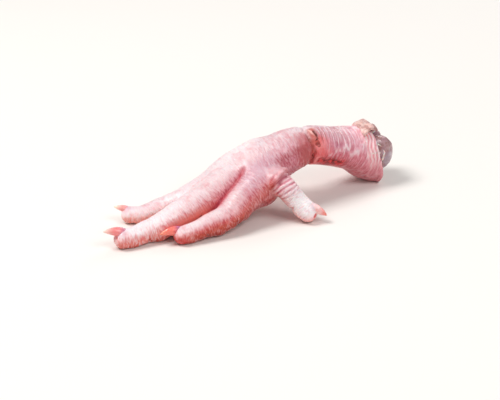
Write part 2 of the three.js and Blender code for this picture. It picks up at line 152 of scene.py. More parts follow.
def unit(v):
    return v / np.maximum(np.linalg.norm(v, axis=-1, keepdims=True), 1e-12)


class Limb:
    """A tube of elliptical section round a curve."""

    def __init__(self, rows):
        rows = np.array(rows, float)
        ext = np.vstack([2 * rows[0] - rows[1], rows, 2 * rows[-1] - rows[-2]])
        c = []
        for s in range(1, len(rows)):
            p0, p1, p2, p3 = ext[s - 1], ext[s], ext[s + 1], ext[s + 2]
            for j in range(SPAN_STEPS):
                t = j / SPAN_STEPS
                c.append(0.5 * (2 * p1 + (p2 - p0) * t + (2 * p0 - 5 * p1 + 4 * p2 - p3) * t * t + (3 * p1 - p0 - 3 * p2 + p3) * t**3))
        c.append(rows[-1])
        c = np.array(c)
        self.p, self.a, self.b = c[:, :3], c[:, 3], c[:, 4]
        n = len(c)
        self.t = unit(self.p[np.minimum(n - 1, np.arange(n) + 1)] - self.p[np.maximum(0, np.arange(n) - 1)])
        self.s = unit(np.cross(self.t, [0, 0, 1.0]))
        self.u = np.cross(self.s, self.t)
        self.l = np.r_[0, np.cumsum(np.linalg.norm(np.diff(self.p, axis=0), axis=1))]
        self.length = self.l[-1]
        self.lo, self.hi = self.p.min(0) - 22, self.p.max(0) + 22
        self.B = np.diff(self.p, axis=0)
        self.B2 = (self.B**2).sum(1)

    def near(self, P):
        best = np.zeros(len(P), int)
        for i in range(0, len(P), 60000):
            q = P[i : i + 60000]
            best[i : i + 60000] = ((self.p**2).sum(1) - 2 * q @ self.p.T).argmin(1)
        m = len(self.B)
        i1, i0 = np.clip(best, 0, m - 1), np.clip(best - 1, 0, m - 1)
        out = []
        for i in (i0, i1):
            w = P - self.p[i]
            t = np.clip((w * self.B[i]).sum(1) / self.B2[i], 0, 1)
            out.append((t, ((w - t[:, None] * self.B[i]) ** 2).sum(1)))
        first = out[0][1] < out[1][1]
        return np.where(first, i0, i1), np.where(first, out[0][0], out[1][0])

    def at(self, P):
        """Signed distance, length along, and place across and up in half widths."""
        d, l, y, z = np.full(len(P), 1e3), np.zeros(len(P)), np.zeros(len(P)), np.zeros(len(P))
        m = ((P > self.lo) & (P < self.hi)).all(1)
        if not m.any():
            return d, l, y, z
        q = P[m]
        i, t = self.near(q)
        mix = lambda A: A[i] * (1 - t)[:, None] + A[i + 1] * t[:, None] if A.ndim > 1 else A[i] * (1 - t) + A[i + 1] * t
        a, b = mix(self.a), mix(self.b)
        w = q - mix(self.p)
        X, Y, Z, r = (w * mix(self.t)).sum(1), (w * mix(self.s)).sum(1), (w * mix(self.u)).sum(1), np.minimum(a, b)
        k0 = np.sqrt((X / r) ** 2 + (Y / a) ** 2 + (Z / b) ** 2)
        k1 = np.sqrt((X / r**2) ** 2 + (Y / a**2) ** 2 + (Z / b**2) ** 2)
        d[m] = np.where(k0 < 1e-6, -r, k0 * (k0 - 1) / np.maximum(k1, 1e-9))
        l[m], y[m], z[m] = mix(self.l) + X, Y / a, Z / b
        return d, l, y, z

    def place(self, share):
        want = share * self.length
        i = int(np.clip(np.searchsorted(self.l, want) - 1, 0, len(self.B) - 1))
        t = (want - self.l[i]) / (self.l[i + 1] - self.l[i])
        mix = lambda A: A[i] * (1 - t) + A[i + 1] * t
        return mix(self.p), unit(mix(self.t)), unit(mix(self.s)), unit(mix(self.u)), mix(self.a), mix(self.b)


limbs = {n: Limb(r) for n, r in LIMBS.items()}
NAMES = list(limbs)


def ellipsoid(P, c, axes, half):
    q = (P - np.asarray(c)) @ np.asarray(axes).T
    half = np.asarray(half, float)
    k0, k1 = np.linalg.norm(q / half, axis=1), np.linalg.norm(q / half**2, axis=1)
    return np.where(k0 < 1e-6, -half.min(), k0 * (k0 - 1) / np.maximum(k1, 1e-9))


def chain(P, path, radii):
    """Distance to a chain of balls, and the place along it, 0 to 1."""
    path, best, where = np.asarray(path, float), np.full(len(P), 1e9), np.zeros(len(P))
    for i in range(len(path) - 1):
        B = path[i + 1] - path[i]
        w = P - path[i]
        t = np.clip(w @ B / (B @ B), 0, 1)
        d = np.linalg.norm(w - t[:, None] * B, axis=1) - (radii[i] + (radii[i + 1] - radii[i]) * t)
        where = np.where(d < best, (i + t) / (len(path) - 1), where)
        best = np.minimum(best, d)
    return best, where


pads = []
for _n, _list in PADS.items():
    for _share, _half, _out in _list:
        _c, _t, _s, _u, _a, _b = limbs[_n].place(_share)
        pads.append((_n, _c - 0.36 * _b * _u, [_t, _s, _u], [_half, 0.9 * _a, 0.64 * _b + _out]))


def along(limb, point):
    return float(limbs[limb].at(np.array([point], float))[1][0])


CREASE_L = along("shank", CREASE_AT)


def skin_body(P):
    """The whole skin before the cut at the hock."""
    far = np.linalg.norm(P - JOIN_AT, axis=1)
    k = np.clip(JOIN_MOST - (far - 8) * JOIN_FALL, JOIN_LEAST, JOIN_MOST)
    web = WEB_MOST + (WEB_LEAST - WEB_MOST) * np.clip((far - WEB_FROM) / (WEB_TO - WEB_FROM), 0, 1)
    full = {n: limbs[n].at(P) for n in NAMES}
    one = {n: full[n][0].copy() for n in NAMES}
    for n, c, axes, half in pads:
        m = one[n] < 8
        if m.any():
            one[n][m] = smin(one[n][m], ellipsoid(P[m], c, axes, half), 1.0)
    d, l, y, z = full["shank"]
    one["shank"] = one["shank"] + CREASE_DEEP * bell(l - CREASE_L, CREASE_HALF) * (0.45 + 0.55 * np.clip(0.8 * y - 0.3 * z + 0.3, 0, 1)) * (d < 8)
    body = smin(one["middle"], one["outer"], web)
    body = smin(body, one["inner"], k * (1 - 0.4 * step(10, 19, far)))
    body = smin(body, one["shank"], k)
    body = smin(body, ellipsoid(P, PALM_PAD[0], np.eye(3), PALM_PAD[1]), 3.0)
    body = smin(body, one["hind"], np.minimum(k, 2.6))
    m = body < 8
    if m.any():
        body[m] = smin(body[m], chain(P[m], FOLD_PATH, [FOLD_R] * len(FOLD_PATH))[0], 1.2)
    return body, full


def joint_body(P):
    lobe = lambda side: ellipsoid(P, [LOBE_ALONG, LOBE_MID_Y + side * LOBE_SIDE, LOBE_HIGH], np.eye(3), LOBE_HALF)
    return smin(smin(lobe(-1), lobe(1), 1.2), chain(P, SHAFT_PATH, SHAFT_R)[0], 3.0)


CUT_UP = unit(np.array([0, 0, 1.0]) - CUT_N[2] * CUT_N)
CUT_SIDE = np.cross(CUT_N, CUT_UP)


def cut_place(P):
    """Distance past the cut plane, and the angle round its middle."""
    w = P - CUT_AT
    return w @ CUT_N, np.arctan2(w @ CUT_SIDE, w @ CUT_UP)


def around(angle, seed, count):
    """Noise round a full turn."""
    r = count / (2 * math.pi)
    return noise(np.stack([r * np.cos(angle), r * np.sin(angle), np.full(len(angle), 3.3)], 1), 1.0, seed)


def skin_field(P):
    body, full = skin_body(P)
    past, angle = cut_place(P)
    near = past > -14
    out = body.copy()
    if near.any():
        q, b, c, ang = P[near], body[near], past[near], angle[near]
        edge = 0.7 * around(ang, 3, 7) + 0.35 * around(ang, 5, 17)
        deep = step(-1.0, -2.1, b)  # inside the skin the flesh is sunk below its edge
        flat = c - edge * (1 - deep) + deep * (2.4 + 0.7 * noise(q, 3.2, 8))
        cut = smax(b, flat, 0.7)
        # the edge of skin on top swells, stands off and curls out over the joint
        t = np.clip((c + 6.8) / 10.0, 0, 1)
        rise = -0.1 + 2.2 * np.sin(np.minimum(t * 1.5, 1) * 1.9) - 2.2 * step(0.62, 1.0, t) + 0.4 * noise(q, 2.6, 31) + 0.2 * noise(q, 1.3, 32)
        side = np.abs(ang + 0.02) - 0.54 - 0.16 * noise(q, 3.0, 12) + 0.2 * t
        sheet = np.abs(b - rise) - (1.0 - 0.35 * t)
        flap = smax(smax(sheet, side * 11, 1.2), np.maximum(c - 3.0 - 0.6 * around(ang, 14, 15), -c - 6.8), 1.0)
        cut = smin(cut, flap, 0.6)
        bore = joint_body(q) - 0.45
        out[near] = smax(cut, -bore, 0.4)
    deep = ~near & (P[:, 0] > 20)
    if deep.any():
        out[deep] = smax(out[deep], -(joint_body(P[deep]) - 0.45), 0.3)
    return smax(out, -P[:, 2] + 0.02, 0.5)


# ------------------------------------------------------------------ closed surface of a signed distance
def nets(f, lo, hi, h):
    lo = np.asarray(lo, float)
    n = np.ceil((np.asarray(hi) - lo) / h).astype(int) + 1
    ax = [lo[i] + h * np.arange(n[i]) for i in range(3)]
    V = np.full(n, 9.0)
    # only the slabs of points that a coarse look finds near the surface are worked out
    c = 4
    cn = (n + c - 1) // c + 1
    cx = [lo[i] + c * h * np.arange(cn[i]) for i in range(3)]
    G = np.stack(np.meshgrid(*cx, indexing="ij"), -1).reshape(-1, 3)
    rough = f(G).reshape(cn)
    close = np.abs(rough) < 2.0 * c * h
    big = np.repeat(np.repeat(np.repeat(rough, c, 0), c, 1), c, 2)[c // 2 :, c // 2 :, c // 2 :]
    grow = close.copy()
    for axis in range(3):
        for s in (-1, 1):
            grow |= np.roll(close, s, axis)
    mask = np.repeat(np.repeat(np.repeat(grow, c, 0), c, 1), c, 2)[c // 2 :, c // 2 :, c // 2 :]
    pad = [(0, max(0, n[i] - mask.shape[i])) for i in range(3)]
    mask = np.pad(mask, pad, mode="edge")[: n[0], : n[1], : n[2]]
    big = np.pad(big, pad, mode="edge")[: n[0], : n[1], : n[2]]
    V = np.where(big < 0, -9.0, 9.0)
    I = np.argwhere(mask)
    P = np.stack([ax[a][I[:, a]] for a in range(3)], 1)
    V[tuple(I.T)] = np.concatenate([f(P[i : i + 150000]) for i in range(0, len(P), 150000)])
    inside = V < 0
    corners = [(i, j, k) for i in (0, 1) for j in (0, 1) for k in (0, 1)]
    m = n - 1
    part = lambda o: tuple(slice(o[i], o[i] + m[i]) for i in range(3))
    count = sum(inside[part(o)].astype(int) for o in corners)
    act = (count > 0) & (count < 8)
    idx = -np.ones(m, int)
    idx[act] = np.arange(act.sum())
    I = np.argwhere(act)
    acc, num = np.zeros((len(I), 3)), np.zeros(len(I))
    for a in range(8):
        for b in range(a + 1, 8):
            A, B = np.array(corners[a]), np.array(corners[b])
            if np.abs(A - B).sum() != 1:
                continue
            va, vb = V[tuple((I + A).T)], V[tuple((I + B).T)]
            x = (va < 0) != (vb < 0)
            t = va[x] / (va[x] - vb[x])
            acc[x] += A + (B - A) * t[:, None]
            num[x] += 1
    P = lo + h * (I + acc / num[:, None])
    quads = []
    for axn in range(3):
        u, v = (axn + 1) % 3, (axn + 2) % 3
        s0 = [slice(0, n[i]) for i in range(3)]
        s1 = list(s0)
        s0[axn], s1[axn] = slice(0, n[axn] - 1), slice(1, n[axn])
        a, b = inside[tuple(s0)], inside[tuple(s1)]
        E = np.argwhere(a != b)
        E = E[(E[:, u] > 0) & (E[:, v] > 0) & (E[:, u] < m[u]) & (E[:, v] < m[v])]
        flip = a[tuple(E.T)]
        eu, ev = np.zeros(3, int), np.zeros(3, int)
        eu[u], ev[v] = 1, 1
        q = np.stack([idx[tuple((E - eu - ev).T)], idx[tuple((E - ev).T)], idx[tuple(E.T)], idx[tuple((E - eu).T)]], 1)
        q[~flip] = q[~flip][:, ::-1]
        quads.append(q)
    return P, np.vstack(quads)


def onto(f, P, rounds=2, e=0.03, most=0.4):
    """Moves points onto the surface."""
    for _ in range(rounds):
        d = f(P)
        g = np.stack([f(P + np.eye(3)[i] * e) - f(P - np.eye(3)[i] * e) for i in range(3)], 1) / (2 * e)
        move = -(d / np.maximum((g**2).sum(1), 0.1))[:, None] * g
        size = np.linalg.norm(move, axis=1, keepdims=True)
        P = P + move * np.minimum(1, most / np.maximum(size, 1e-9))
    return P


def subdivide(P, F):
    """Splits each quad in four."""
    n = len(P)
    E = np.sort(np.concatenate([F[:, [0, 1]], F[:, [1, 2]], F[:, [2, 3]], F[:, [3, 0]]]), axis=1)
    key, inv = np.unique(E[:, 0] * n + E[:, 1], return_inverse=True)
    mid = 0.5 * (P[key // n] + P[key % n])
    cen = P[F].mean(1)
    e = n + inv.reshape(4, -1).T
    c = n + len(mid) + np.arange(len(F))
    out = np.concatenate([np.stack([F[:, i], e[:, i], c, e[:, (i + 3) % 4]], 1) for i in range(4)])
    return np.vstack([P, mid, cen]), out


def normals(P, F):
    a, b, c, d = (P[F[:, i]] for i in range(4))
    fn = np.cross(c - a, d - b)
    n = np.zeros_like(P)
    for k in range(3):
        for i in range(4):
            n[:, k] += np.bincount(F[:, i], fn[:, k], len(P))
    return unit(n)


# ------------------------------------------------------------------ fine shape of the skin
# Grooves across the soles between the pads, as a share of the limb's length.
SOLE_GROOVES = {"middle": [0.145, 0.315, 0.49], "outer": [0.155, 0.32, 0.485], "inner": [0.23, 0.53], "hind": [0.7]}
POCKET = [[1.0, -20.0, 18.0], [2.2, -19.8, 20.3], [4.0, -19.2, 21.7], [6.8, -17.8, 21.6], [9.0, -15.6, 20.4]]
# Places on the shank as length along it and length round it from its top towards the near side, with half sizes.
CORE = [(27.1, 2.4, 0.4, 1.3), (27.4, 4.4, 0.46, 1.4), (27.8, 6.4, 0.36, 1.1)]
CRUSTS = [(28.2, 9.0, 0.6, 0.8), (28.4, 10.4, 1.0, 1.0), (28.9, 11.8, 0.8, 0.8)]
SLIT = [(28.3, 3.6), (28.5, 5.2), (28.7, 6.8), (28.5, 8.6)]


def folds(l, s, wave, across, seed):
    """Soft folds across a limb, -1 in the furrows to 1 on the folds."""
    return noise(np.stack([l / (0.5 * wave), s / (0.5 * across), np.full(len(l), 0.5)], 1), 1.0, seed)


def spot(l, s, places):
    """Soft spots on the shank, 0 to 1."""
    return np.clip(sum(np.exp(-(((l - a) / c) ** 2) - ((s - b) / d) ** 2) for a, b, c, d in places), 0, 1)


def fine(P, N):
    """Height of the fine shape over the smooth surface, in mm, and the masks that colour it."""
    body, full = skin_body(P)
    D = np.stack([full[n][0] for n in NAMES], 1)
    W = np.exp(-(D - D.min(1, keepdims=True)) / 0.7)
    W /= W.sum(1, keepdims=True)
    past, angle = cut_place(P)
    H, ridge, scute = np.zeros(len(P)), np.zeros(len(P)), np.ones(len(P))
    coord = np.zeros((len(P), 3))
    sole = step(-0.45, -0.9, N[:, 2])
    root, tips = np.zeros(len(P)), np.zeros(len(P))
    for col, n in enumerate(NAMES):
        w = W[:, col]
        use = w > 0.01
        if not use.any():
            continue
        d, l, y, z = (v[use] for v in full[n])
        p = P[use]
        L = limbs[n]
        phi = np.arctan2(y, z)
        R = np.interp(l, L.l, 0.5 * (L.a + L.b))
        s = phi * R
        low = step(-0.35, -0.9, z)
        high = step(0.25, 0.95, z)
        wob = np.stack([l, s, np.full(len(l), 0.5)], 1)
        bend = noise(wob, [4.5, 5.0, 1.0], 40 + col) * 0.7 + noise(wob, [11.0, 11.0, 1.0], 50 + col) * 1.5
        warp = l + 0.7 * bend
        if n == "shank":
            up = step(CREASE_L - 0.5, CREASE_L + 2.5, l)
            soft = folds(warp + 0.1 * s, s, 2.3, 11.0, 60)
            # rings of scutes on the upper shank, broken and uneven
            c1, c2, who = cells((l + 0.7 * bend + 0.25 * np.sin(s / 3.0)) / 2.5, s / 13.0 + 0.1 * bend, 71, 0.6)
            here = 0.3 + 0.7 * step(-0.4, 0.5, noise(wob, [2.6, 4.5, 1.0], 71))
            rings = step(0.34, 0.04, c2 - c1) * here
            h = (0.22 - 0.11 * up) * soft + up * (0.2 * rings - 0.05)
            rid = 0.5 + (0.3 - 0.14 * up) * soft
            at = np.flatnonzero(use)
            scute[at] = c2 - c1
        elif n == "hind":
            soft = folds(warp, s, 2.0, 9.0, 60 + col)
            near_root = step(13.5, 7.0, l) * step(0.0, 1.5, l)
            fold = 0.5 - 0.5 * np.cos(2 * math.pi * (l + 0.55 * bend + 0.12 * s) / 1.75)
            h = 0.1 * soft + near_root * 0.5 * (fold - 0.5)
            rid = 0.58 + 0.16 * soft + 0.42 * near_root * (fold - 0.5)
            root[use] = step(11.0, 5.0, l)
        else:
            soft = folds(warp + 0.16 * s, s, 2.2, 7.0, 60 + col)
            cross = folds(warp - 0.5 * s, s, 2.6, 7.0, 90 + col)
            h = 0.17 * soft + 0.09 * cross
            rid = 0.5 + 0.24 * soft + 0.14 * cross
        # soles: round grains and grooves between the pads
        g1, g2, who3 = cells(l / 1.15, s / 1.15, 120 + col, 0.95)
        grain = step(0.0, 0.45, g2 - g1) - 0.6
        h = h * (1 - 0.85 * low) + 0.09 * grain * low
        rid = rid * (1 - 0.8 * low) + 0.8 * low * (0.5 + 0.3 * grain)
        h *= 1 - 0.35 * high
        cut = np.zeros(len(l))
        for share in SOLE_GROOVES.get(n, []):
            at = share * L.length + 0.5 * noise(p, 5.0, 130)
            cut += bell(l - at, 0.55) * step(0.1, -0.45, z)
        h -= 0.75 * cut
        rid -= 0.5 * cut
        H[use] += w[use] * h
        ridge[use] += w[use] * rid
        best = D[use].argmin(1) == col
        tips[use] += w[use] * step(0.6, 3.0, np.maximum(-l, l - L.length)) if n != "shank" else 0
        coord[np.flatnonzero(use)[best]] = np.stack([warp, s, np.full(len(l), 40.0 * col)], 1)[best]
    # soft lumps everywhere
    H += 0.26 * fbm(P, 8.0, 5, 2) + 0.05 * fbm(P, 1.6, 9, 2)
    shank_l, ys, zs = full["shank"][1], full["shank"][2], full["shank"][3]
    shank_s = np.arctan2(ys, zs) * 9.3
    on_shank = W[:, NAMES.index("shank")]
    on_hind = W[:, NAMES.index("hind")]
    # the valley between middle and near toe
    dm, di, do = full["middle"][0], full["inner"][0], full["outer"][0]
    reach = step(-6.5, -12.0, P[:, 0])
    groove = np.exp(-(((dm - di) / (1.05 + 0.3 * noise(P, 3.0, 73))) ** 2)) * step(3.4, 1.9, np.maximum(dm, di)) * reach
    flank = np.exp(-(((dm - di) / 4.0) ** 2)) * step(5.5, 1.5, np.maximum(dm, di)) * reach
    H -= 0.7 * groove
    H -= 0.4 * np.exp(-(((dm - do) / 1.2) ** 2)) * step(2.8, 1.4, np.maximum(dm, do)) * step(-27.0, -36.0, P[:, 0])
    # the lower shank's plump edge runs over the upper shank at the bend
    edge = shank_l - np.interp(shank_s, [-24, -10, 0, 6, 10, 14, 20, 26], [26.2, 25.6, 25.2, 25.3, 25.7, 26.0, 26.8, 27.6]) - 0.45 * noise(P, 3.5, 77) - 0.35 * noise(P, 1.5, 76)
    sharp = on_shank * (0.12 + 0.88 * step(-0.05, 0.6, ys) * step(-0.5, 0.0, ys))
    H += sharp * (0.5 + 0.5 * noise(P, 3.0, 78)) * 0.6 * np.where(edge < -1.2, bell(edge + 1.2, 2.0), bell(edge + 1.2, 0.95))
    H -= sharp * ((0.75 + 0.3 * noise(P, 3.0, 79)) * bell(edge - 0.45, 0.65) + 0.2 * bell(edge + 3.2, 0.5) + 0.16 * bell(edge + 5.4, 0.5))
    pleats = on_shank * step(0.5, 2.5, shank_s) * step(11.0, 7.5, shank_s) * (bell(shank_l - 30.7 - 0.1 * shank_s, 0.4) + 0.7 * bell(shank_l - 32.5 - 0.12 * shank_s, 0.4))
    H -= 0.28 * pleats
    # torn skin beside the crease: a sunk bed with a fleshy middle, a slit and crusts
    bed = on_shank * bell(shank_l - 27.7, 1.35) * step(0.4, 2.0, shank_s) * step(12.0, 9.5, shank_s)
    core = on_shank * step(0.3, 0.95, spot(shank_l, shank_s, CORE) + 0.32 * noise(P, 1.3, 94))
    crust = on_shank * step(0.22, 0.62, spot(shank_l, shank_s, CRUSTS) + 0.25 * noise(P, 0.9, 92))
    slit_d = chain(np.stack([shank_l, shank_s, np.zeros(len(P))], 1), [(a, b, 0) for a, b in SLIT], [0] * 4)[0]
    slit = on_shank * np.exp(-((slit_d / 0.4) ** 2)) * np.clip(0.75 + 0.7 * noise(P, 1.6, 74), 0, 1)
    H += -0.4 * bed + 0.3 * core - 0.5 * slit + 0.25 * on_shank * bell(shank_l - 29.9, 0.9) * step(0.4, 3.0, shank_s) * step(12.0, 9.0, shank_s)
    H += crust * (0.1 + 0.4 * noise(P, 1.1, 91))
    # raw crevice low on the near side, right of the bend
    raw = on_shank * np.exp(-(((shank_s - 20.3 - 0.9 * noise(P, 3.0, 93)) / 2.0) ** 2)) * step(29.5, 32.0, shank_l) * step(48.0, 43.0, shank_l)
    H += raw * (0.8 * noise(P, [3.2, 1.2, 1.2], 95) - 0.5)
    # stretched bands of skin beside the cut at the hock
    end = step(-8.0, -5.5, past) * step(0.3, -0.4, body - 0.6)
    end = end * step(2.3, 1.3, np.abs(angle - 0.15))
    q = past + 1.9 * (np.abs(angle) - 0.9) + 1.0 * noise(P, 5.0, 99) + 0.45 * noise(P, 2.0, 98)
    bands = np.cos(2 * math.pi * q / 2.05)
    bands = bands * (0.6 + 0.4 * noise(P, 3.0, 97))
    H += end * 0.22 * bands
    lip = step(0.35, 0.9, body) * step(-8.5, -7.0, past)
    H += lip * 0.3 * noise(P, 1.7, 96)
    fold_d, fold_t = chain(P, FOLD_PATH, [FOLD_R] * len(FOLD_PATH))
    on_fold = np.exp(-((np.maximum(fold_d, 0) / 0.7) ** 2)) * step(0.0, 0.12, fold_t) * step(1.0, 0.85, fold_t)
    lines = noise(np.stack([fold_t * 18, fold_d * 0.6, np.full(len(P), 0.5)], 1), 1.0, 88)
    H += on_fold * 0.16 * lines
    ridge = ridge * (1 - 0.7 * on_fold) + 0.7 * on_fold * (0.5 + 0.3 * lines)
    # the hollow under the fold; its mask also carries the shade painted there
    pocket_d, pocket_t = chain(P, POCKET, [0] * len(POCKET))
    pocket = np.exp(-((pocket_d / 1.25) ** 2)) * step(0.0, 0.15, pocket_t) * step(1.0, 0.8, pocket_t)
    H -= 0.75 * pocket
    quick, cuticle = np.zeros(len(P)), np.zeros(len(P))
    for n, c in CLAWS.items():
        start, axis = np.array(c["start"]), unit(np.array(c["tip"]) - np.array(c["start"]))
        rise = np.cross(unit(np.cross(axis, [0, 0, 1.0])), axis)
        big = 1.7 if n == "hind" else 1.15
        at = np.array({"hind": [15.5, -28.7, 3.9], "middle": [-72.2, -8.6, 5.6]}.get(n, start + 0.7 * axis - (c["h"] + 0.3) * rise))
        quick += np.exp(-((P - at) ** 2).sum(1) / big**2)
        a = (P - start) @ axis
        r = np.linalg.norm(P - start - a[:, None] * axis, axis=1)
        cuticle += bell(r - c["h"] - 0.5, 0.9) * bell(a + 0.2, 1.8)
    quick, cuticle = np.clip(quick, 0, 1), np.clip(cuticle, 0, 1)
    H += 0.22 * cuticle - 0.7 * quick
    up = 0.5 + 0.5 * N[:, 2]
    seam = np.clip((W.max(1) - 0.55) / 0.35, 0, 1) * (1 - 0.75 * tips)
    inner_y = full["inner"][2]
    # near-side toes, palm base and the near side of the inner toe: redder skin, with painted shade and warm reflected
    # light low on their sides
    rosy_shade = step(-58.0, -20.0, P[:, 0]) * step(8.0, -6.0, P[:, 1])
    rosy_shade = np.maximum(rosy_shade, W[:, NAMES.index("inner")] * step(0.1, 0.9, inner_y) * step(-47.0, -38.0, P[:, 0]))
    masks = {
        "ridge": np.clip(ridge * (1 - end) + end * (0.5 + 0.42 * bands), 0, 1),
        "up": up,
        "rosy_shade": rosy_shade,
        "seam": seam,
        "scute": np.clip(scute, 0, 1),
        "sole": sole,
        "quick": quick,
        "cuticle": cuticle,
        "pale": W[:, NAMES.index("outer")] * step(-8.0, -20.0, P[:, 0]),
        "pleats": pleats,
        "tipred": W[:, NAMES.index("inner")] * step(3.2, -0.5, full["inner"][1]) * step(0.6, -0.2, full["inner"][3]),
        "palm": step(-20.0, -8.0, P[:, 0]) * step(10.0, 2.0, P[:, 0]) * step(-3.0, -8.0, P[:, 1]) * (1 - on_hind),
        # masks for the valley between the toes: painted shade deepest towards the palm, and painted reflected light
        # deep in the gap near the tips
        "palmward_shade": step(-38.0, -26.0, P[:, 0]),
        "groove": np.clip(groove * 1.1, 0, 1),
        "flank": flank,
        "gap_bounce_light": np.exp(-(((dm - di) / 3.0) ** 2)) * step(6.0, 2.0, np.maximum(dm, di)) * step(-24.0, -34.0, P[:, 0]),
        "fold": on_fold,
        "pocket": pocket,
        "root": root * on_hind,
        "hindtoe": on_hind * step(0.5, 3.0, full["hind"][1]),
        # masks for painted shade in the crease and where the lower shank turns away beside it
        "crease": np.clip(on_shank * (0.05 + 0.95 * step(0.1, 0.8, ys)) * bell(edge - 0.35, 0.6) * (0.8 + 0.4 * noise(P, 2.0, 75)), 0, 1),
        "turn": np.clip(sharp * bell(edge + 2.6, 3.4) * step(0.0, 0.75, ys), 0, 1),
        "upper": on_shank * step(CREASE_L, CREASE_L + 2.5, shank_l),
        "lower": on_shank * step(CREASE_L + 1, CREASE_L - 2, shank_l) * step(0.0, 7.0, shank_l),
        "bruise": np.clip(on_shank * step(26.0, 28.0, shank_l) * step(40.0, 31.0, shank_l + 0.35 * np.abs(shank_s - 15.0)) * step(4.5, 9.0, shank_s), 0, 1),
        "under": on_shank * step(21.5, 15.5, shank_l) * step(4.0, 8.0, shank_l) * step(0.1, 0.6, ys),
        "hockward": on_shank * step(40.0, 53.0, shank_l),
        "raw": np.clip(raw * 1.2, 0, 1),
        "wound": np.clip(bed * 1.2, 0, 1),
        "core": core,
        "slit": np.clip(slit * 1.4, 0, 1),
        "crust": np.clip(crust * 1.3, 0, 1),
        "lip": lip,
        "bands": end,
        "past": past,
        "inside": step(-0.9, -1.6, body) * step(-8.0, -4.0, past),
    }
    return H, masks, coord


def mesh_of(name, P, F, masks=None, coord=None, smooth=True):
    """A mesh object from points in mm in the foot's own frame."""
    me = bpy.data.meshes.new(name)
    V = (P + SHIFT) / 1000.0
    F = np.asarray(F)
    k = F.shape[1]
    me.vertices.add(len(V))
    me.vertices.foreach_set("co", V.astype(np.float32).ravel())
    me.loops.add(F.size)
    me.loops.foreach_set("vertex_index", F.astype(np.int32).ravel())
    me.polygons.add(len(F))
    me.polygons.foreach_set("loop_start", (np.arange(len(F)) * k).astype(np.int32))
    me.update(calc_edges=True)
    me.validate()
    me.polygons.foreach_set("use_smooth", [smooth] * len(me.polygons))
    ob = bpy.data.objects.new(name, me)
    bpy.context.scene.collection.objects.link(ob)
    if masks is not None:
        set_masks(me, masks, coord)
    return ob


def set_masks(me, masks, coord=None):
    for n, v in masks.items():
        at = me.attributes.get(n) or me.attributes.new(n, "FLOAT", "POINT")
        at.data.foreach_set("value", v.astype(np.float32))
    if coord is not None:
        at = me.attributes.get("limb") or me.attributes.new("limb", "FLOAT_VECTOR", "POINT")
        at.data.foreach_set("vector", coord.astype(np.float32).ravel())


def points_of(ob):
    me = ob.data
    V = np.zeros(len(me.vertices) * 3, np.float32)
    me.vertices.foreach_get("co", V)
    return V.reshape(-1, 3).astype(float) * 1000.0 - SHIFT


def applied(ob, kind, **settings):
    """Adds a modifier and applies it."""
    m = ob.modifiers.new(kind.lower(), kind)
    for k, v in settings.items():
        setattr(m, k, v)
    dg = bpy.context.evaluated_depsgraph_get()
    me = bpy.data.meshes.new_from_object(ob.evaluated_get(dg), preserve_all_data_layers=True, depsgraph=dg)
    ob.modifiers.clear()
    old, ob.data = ob.data, me
    bpy.data.meshes.remove(old)
    return ob


def largest(P, F):
    """Drops loose crumbs: keeps the largest connected sheet."""
    parent = np.arange(len(P))
    for _ in range(200):
        low = parent[F].min(1)
        new = parent.copy()
        for i in range(F.shape[1]):
            np.minimum.at(new, F[:, i], low)
        new = new[new]
        if (new == parent).all():
            break
        parent = new
    names, count = np.unique(parent, return_counts=True)
    keep = parent == names[count.argmax()]
    remap = np.cumsum(keep) - 1
    F = F[keep[F].all(1)]
    return P[keep], remap[F]


def make_skin():
    P, F = nets(skin_field, [-79, -32, -1.6], [76, 26, 38], CELL)
    P, F = largest(P, F)
    P = onto(skin_field, P, 2)
    P, F = subdivide(P, F)
    P = onto(skin_field, P, 1)
    # an even out: each point drifts towards its neighbours and back onto the surface
    for _ in range(2):
        acc, num = np.zeros_like(P), np.zeros(len(P))
        for i in range(4):
            a, b = F[:, i], F[:, (i + 1) % 4]
            for k in range(3):
                acc[:, k] += np.bincount(a, P[b, k], len(P)) + np.bincount(b, P[a, k], len(P))
            num += np.bincount(a, minlength=len(P)) + np.bincount(b, minlength=len(P))
        P = P + 0.5 * (acc / num[:, None] - P)
    P = onto(skin_field, P, 1)
    N = normals(P, F)
    H, masks, coord = fine(P, N)
    f_at = skin_field
    # how enclosed the surface is, near and farther out: it softens the fine shape in hollows and paints shade into
    # their colour
    cav2 = np.clip(1 - f_at(P + 1.6 * N) / 1.6, 0, 1)
    cav5 = np.clip(1 - f_at(P + 5.0 * N) / 5.0, 0, 1)
    inner = (joint_body(P) - 0.45) < 0.25  # the wall round the joint stays smooth
    ground = step(0.35, 1.3, P[:, 2])
    H = H * np.where(inner, 0.0, 1.0) * (0.15 + 0.85 * ground) * (1 - 0.5 * cav2)
    P = P + N * H[:, None]
    P[:, 2] = np.maximum(P[:, 2], 0.02)
    masks["cavity_shade"], masks["wide"] = cav2, cav5
    ob = mesh_of("foot_skin", P, F, masks, coord)
    print("skin base", len(F) * 2, "triangles", round(time.time() - T0, 1), "s")
    if len(F) * 2 > SKIN_TRIANGLES:
        applied(ob, "DECIMATE", decimate_type="COLLAPSE", ratio=SKIN_TRIANGLES / (len(F) * 2))
        print("skin", len(ob.data.polygons), "faces", round(time.time() - T0, 1), "s")
    ob.data.polygons.foreach_set("use_smooth", [True] * len(ob.data.polygons))
    return ob


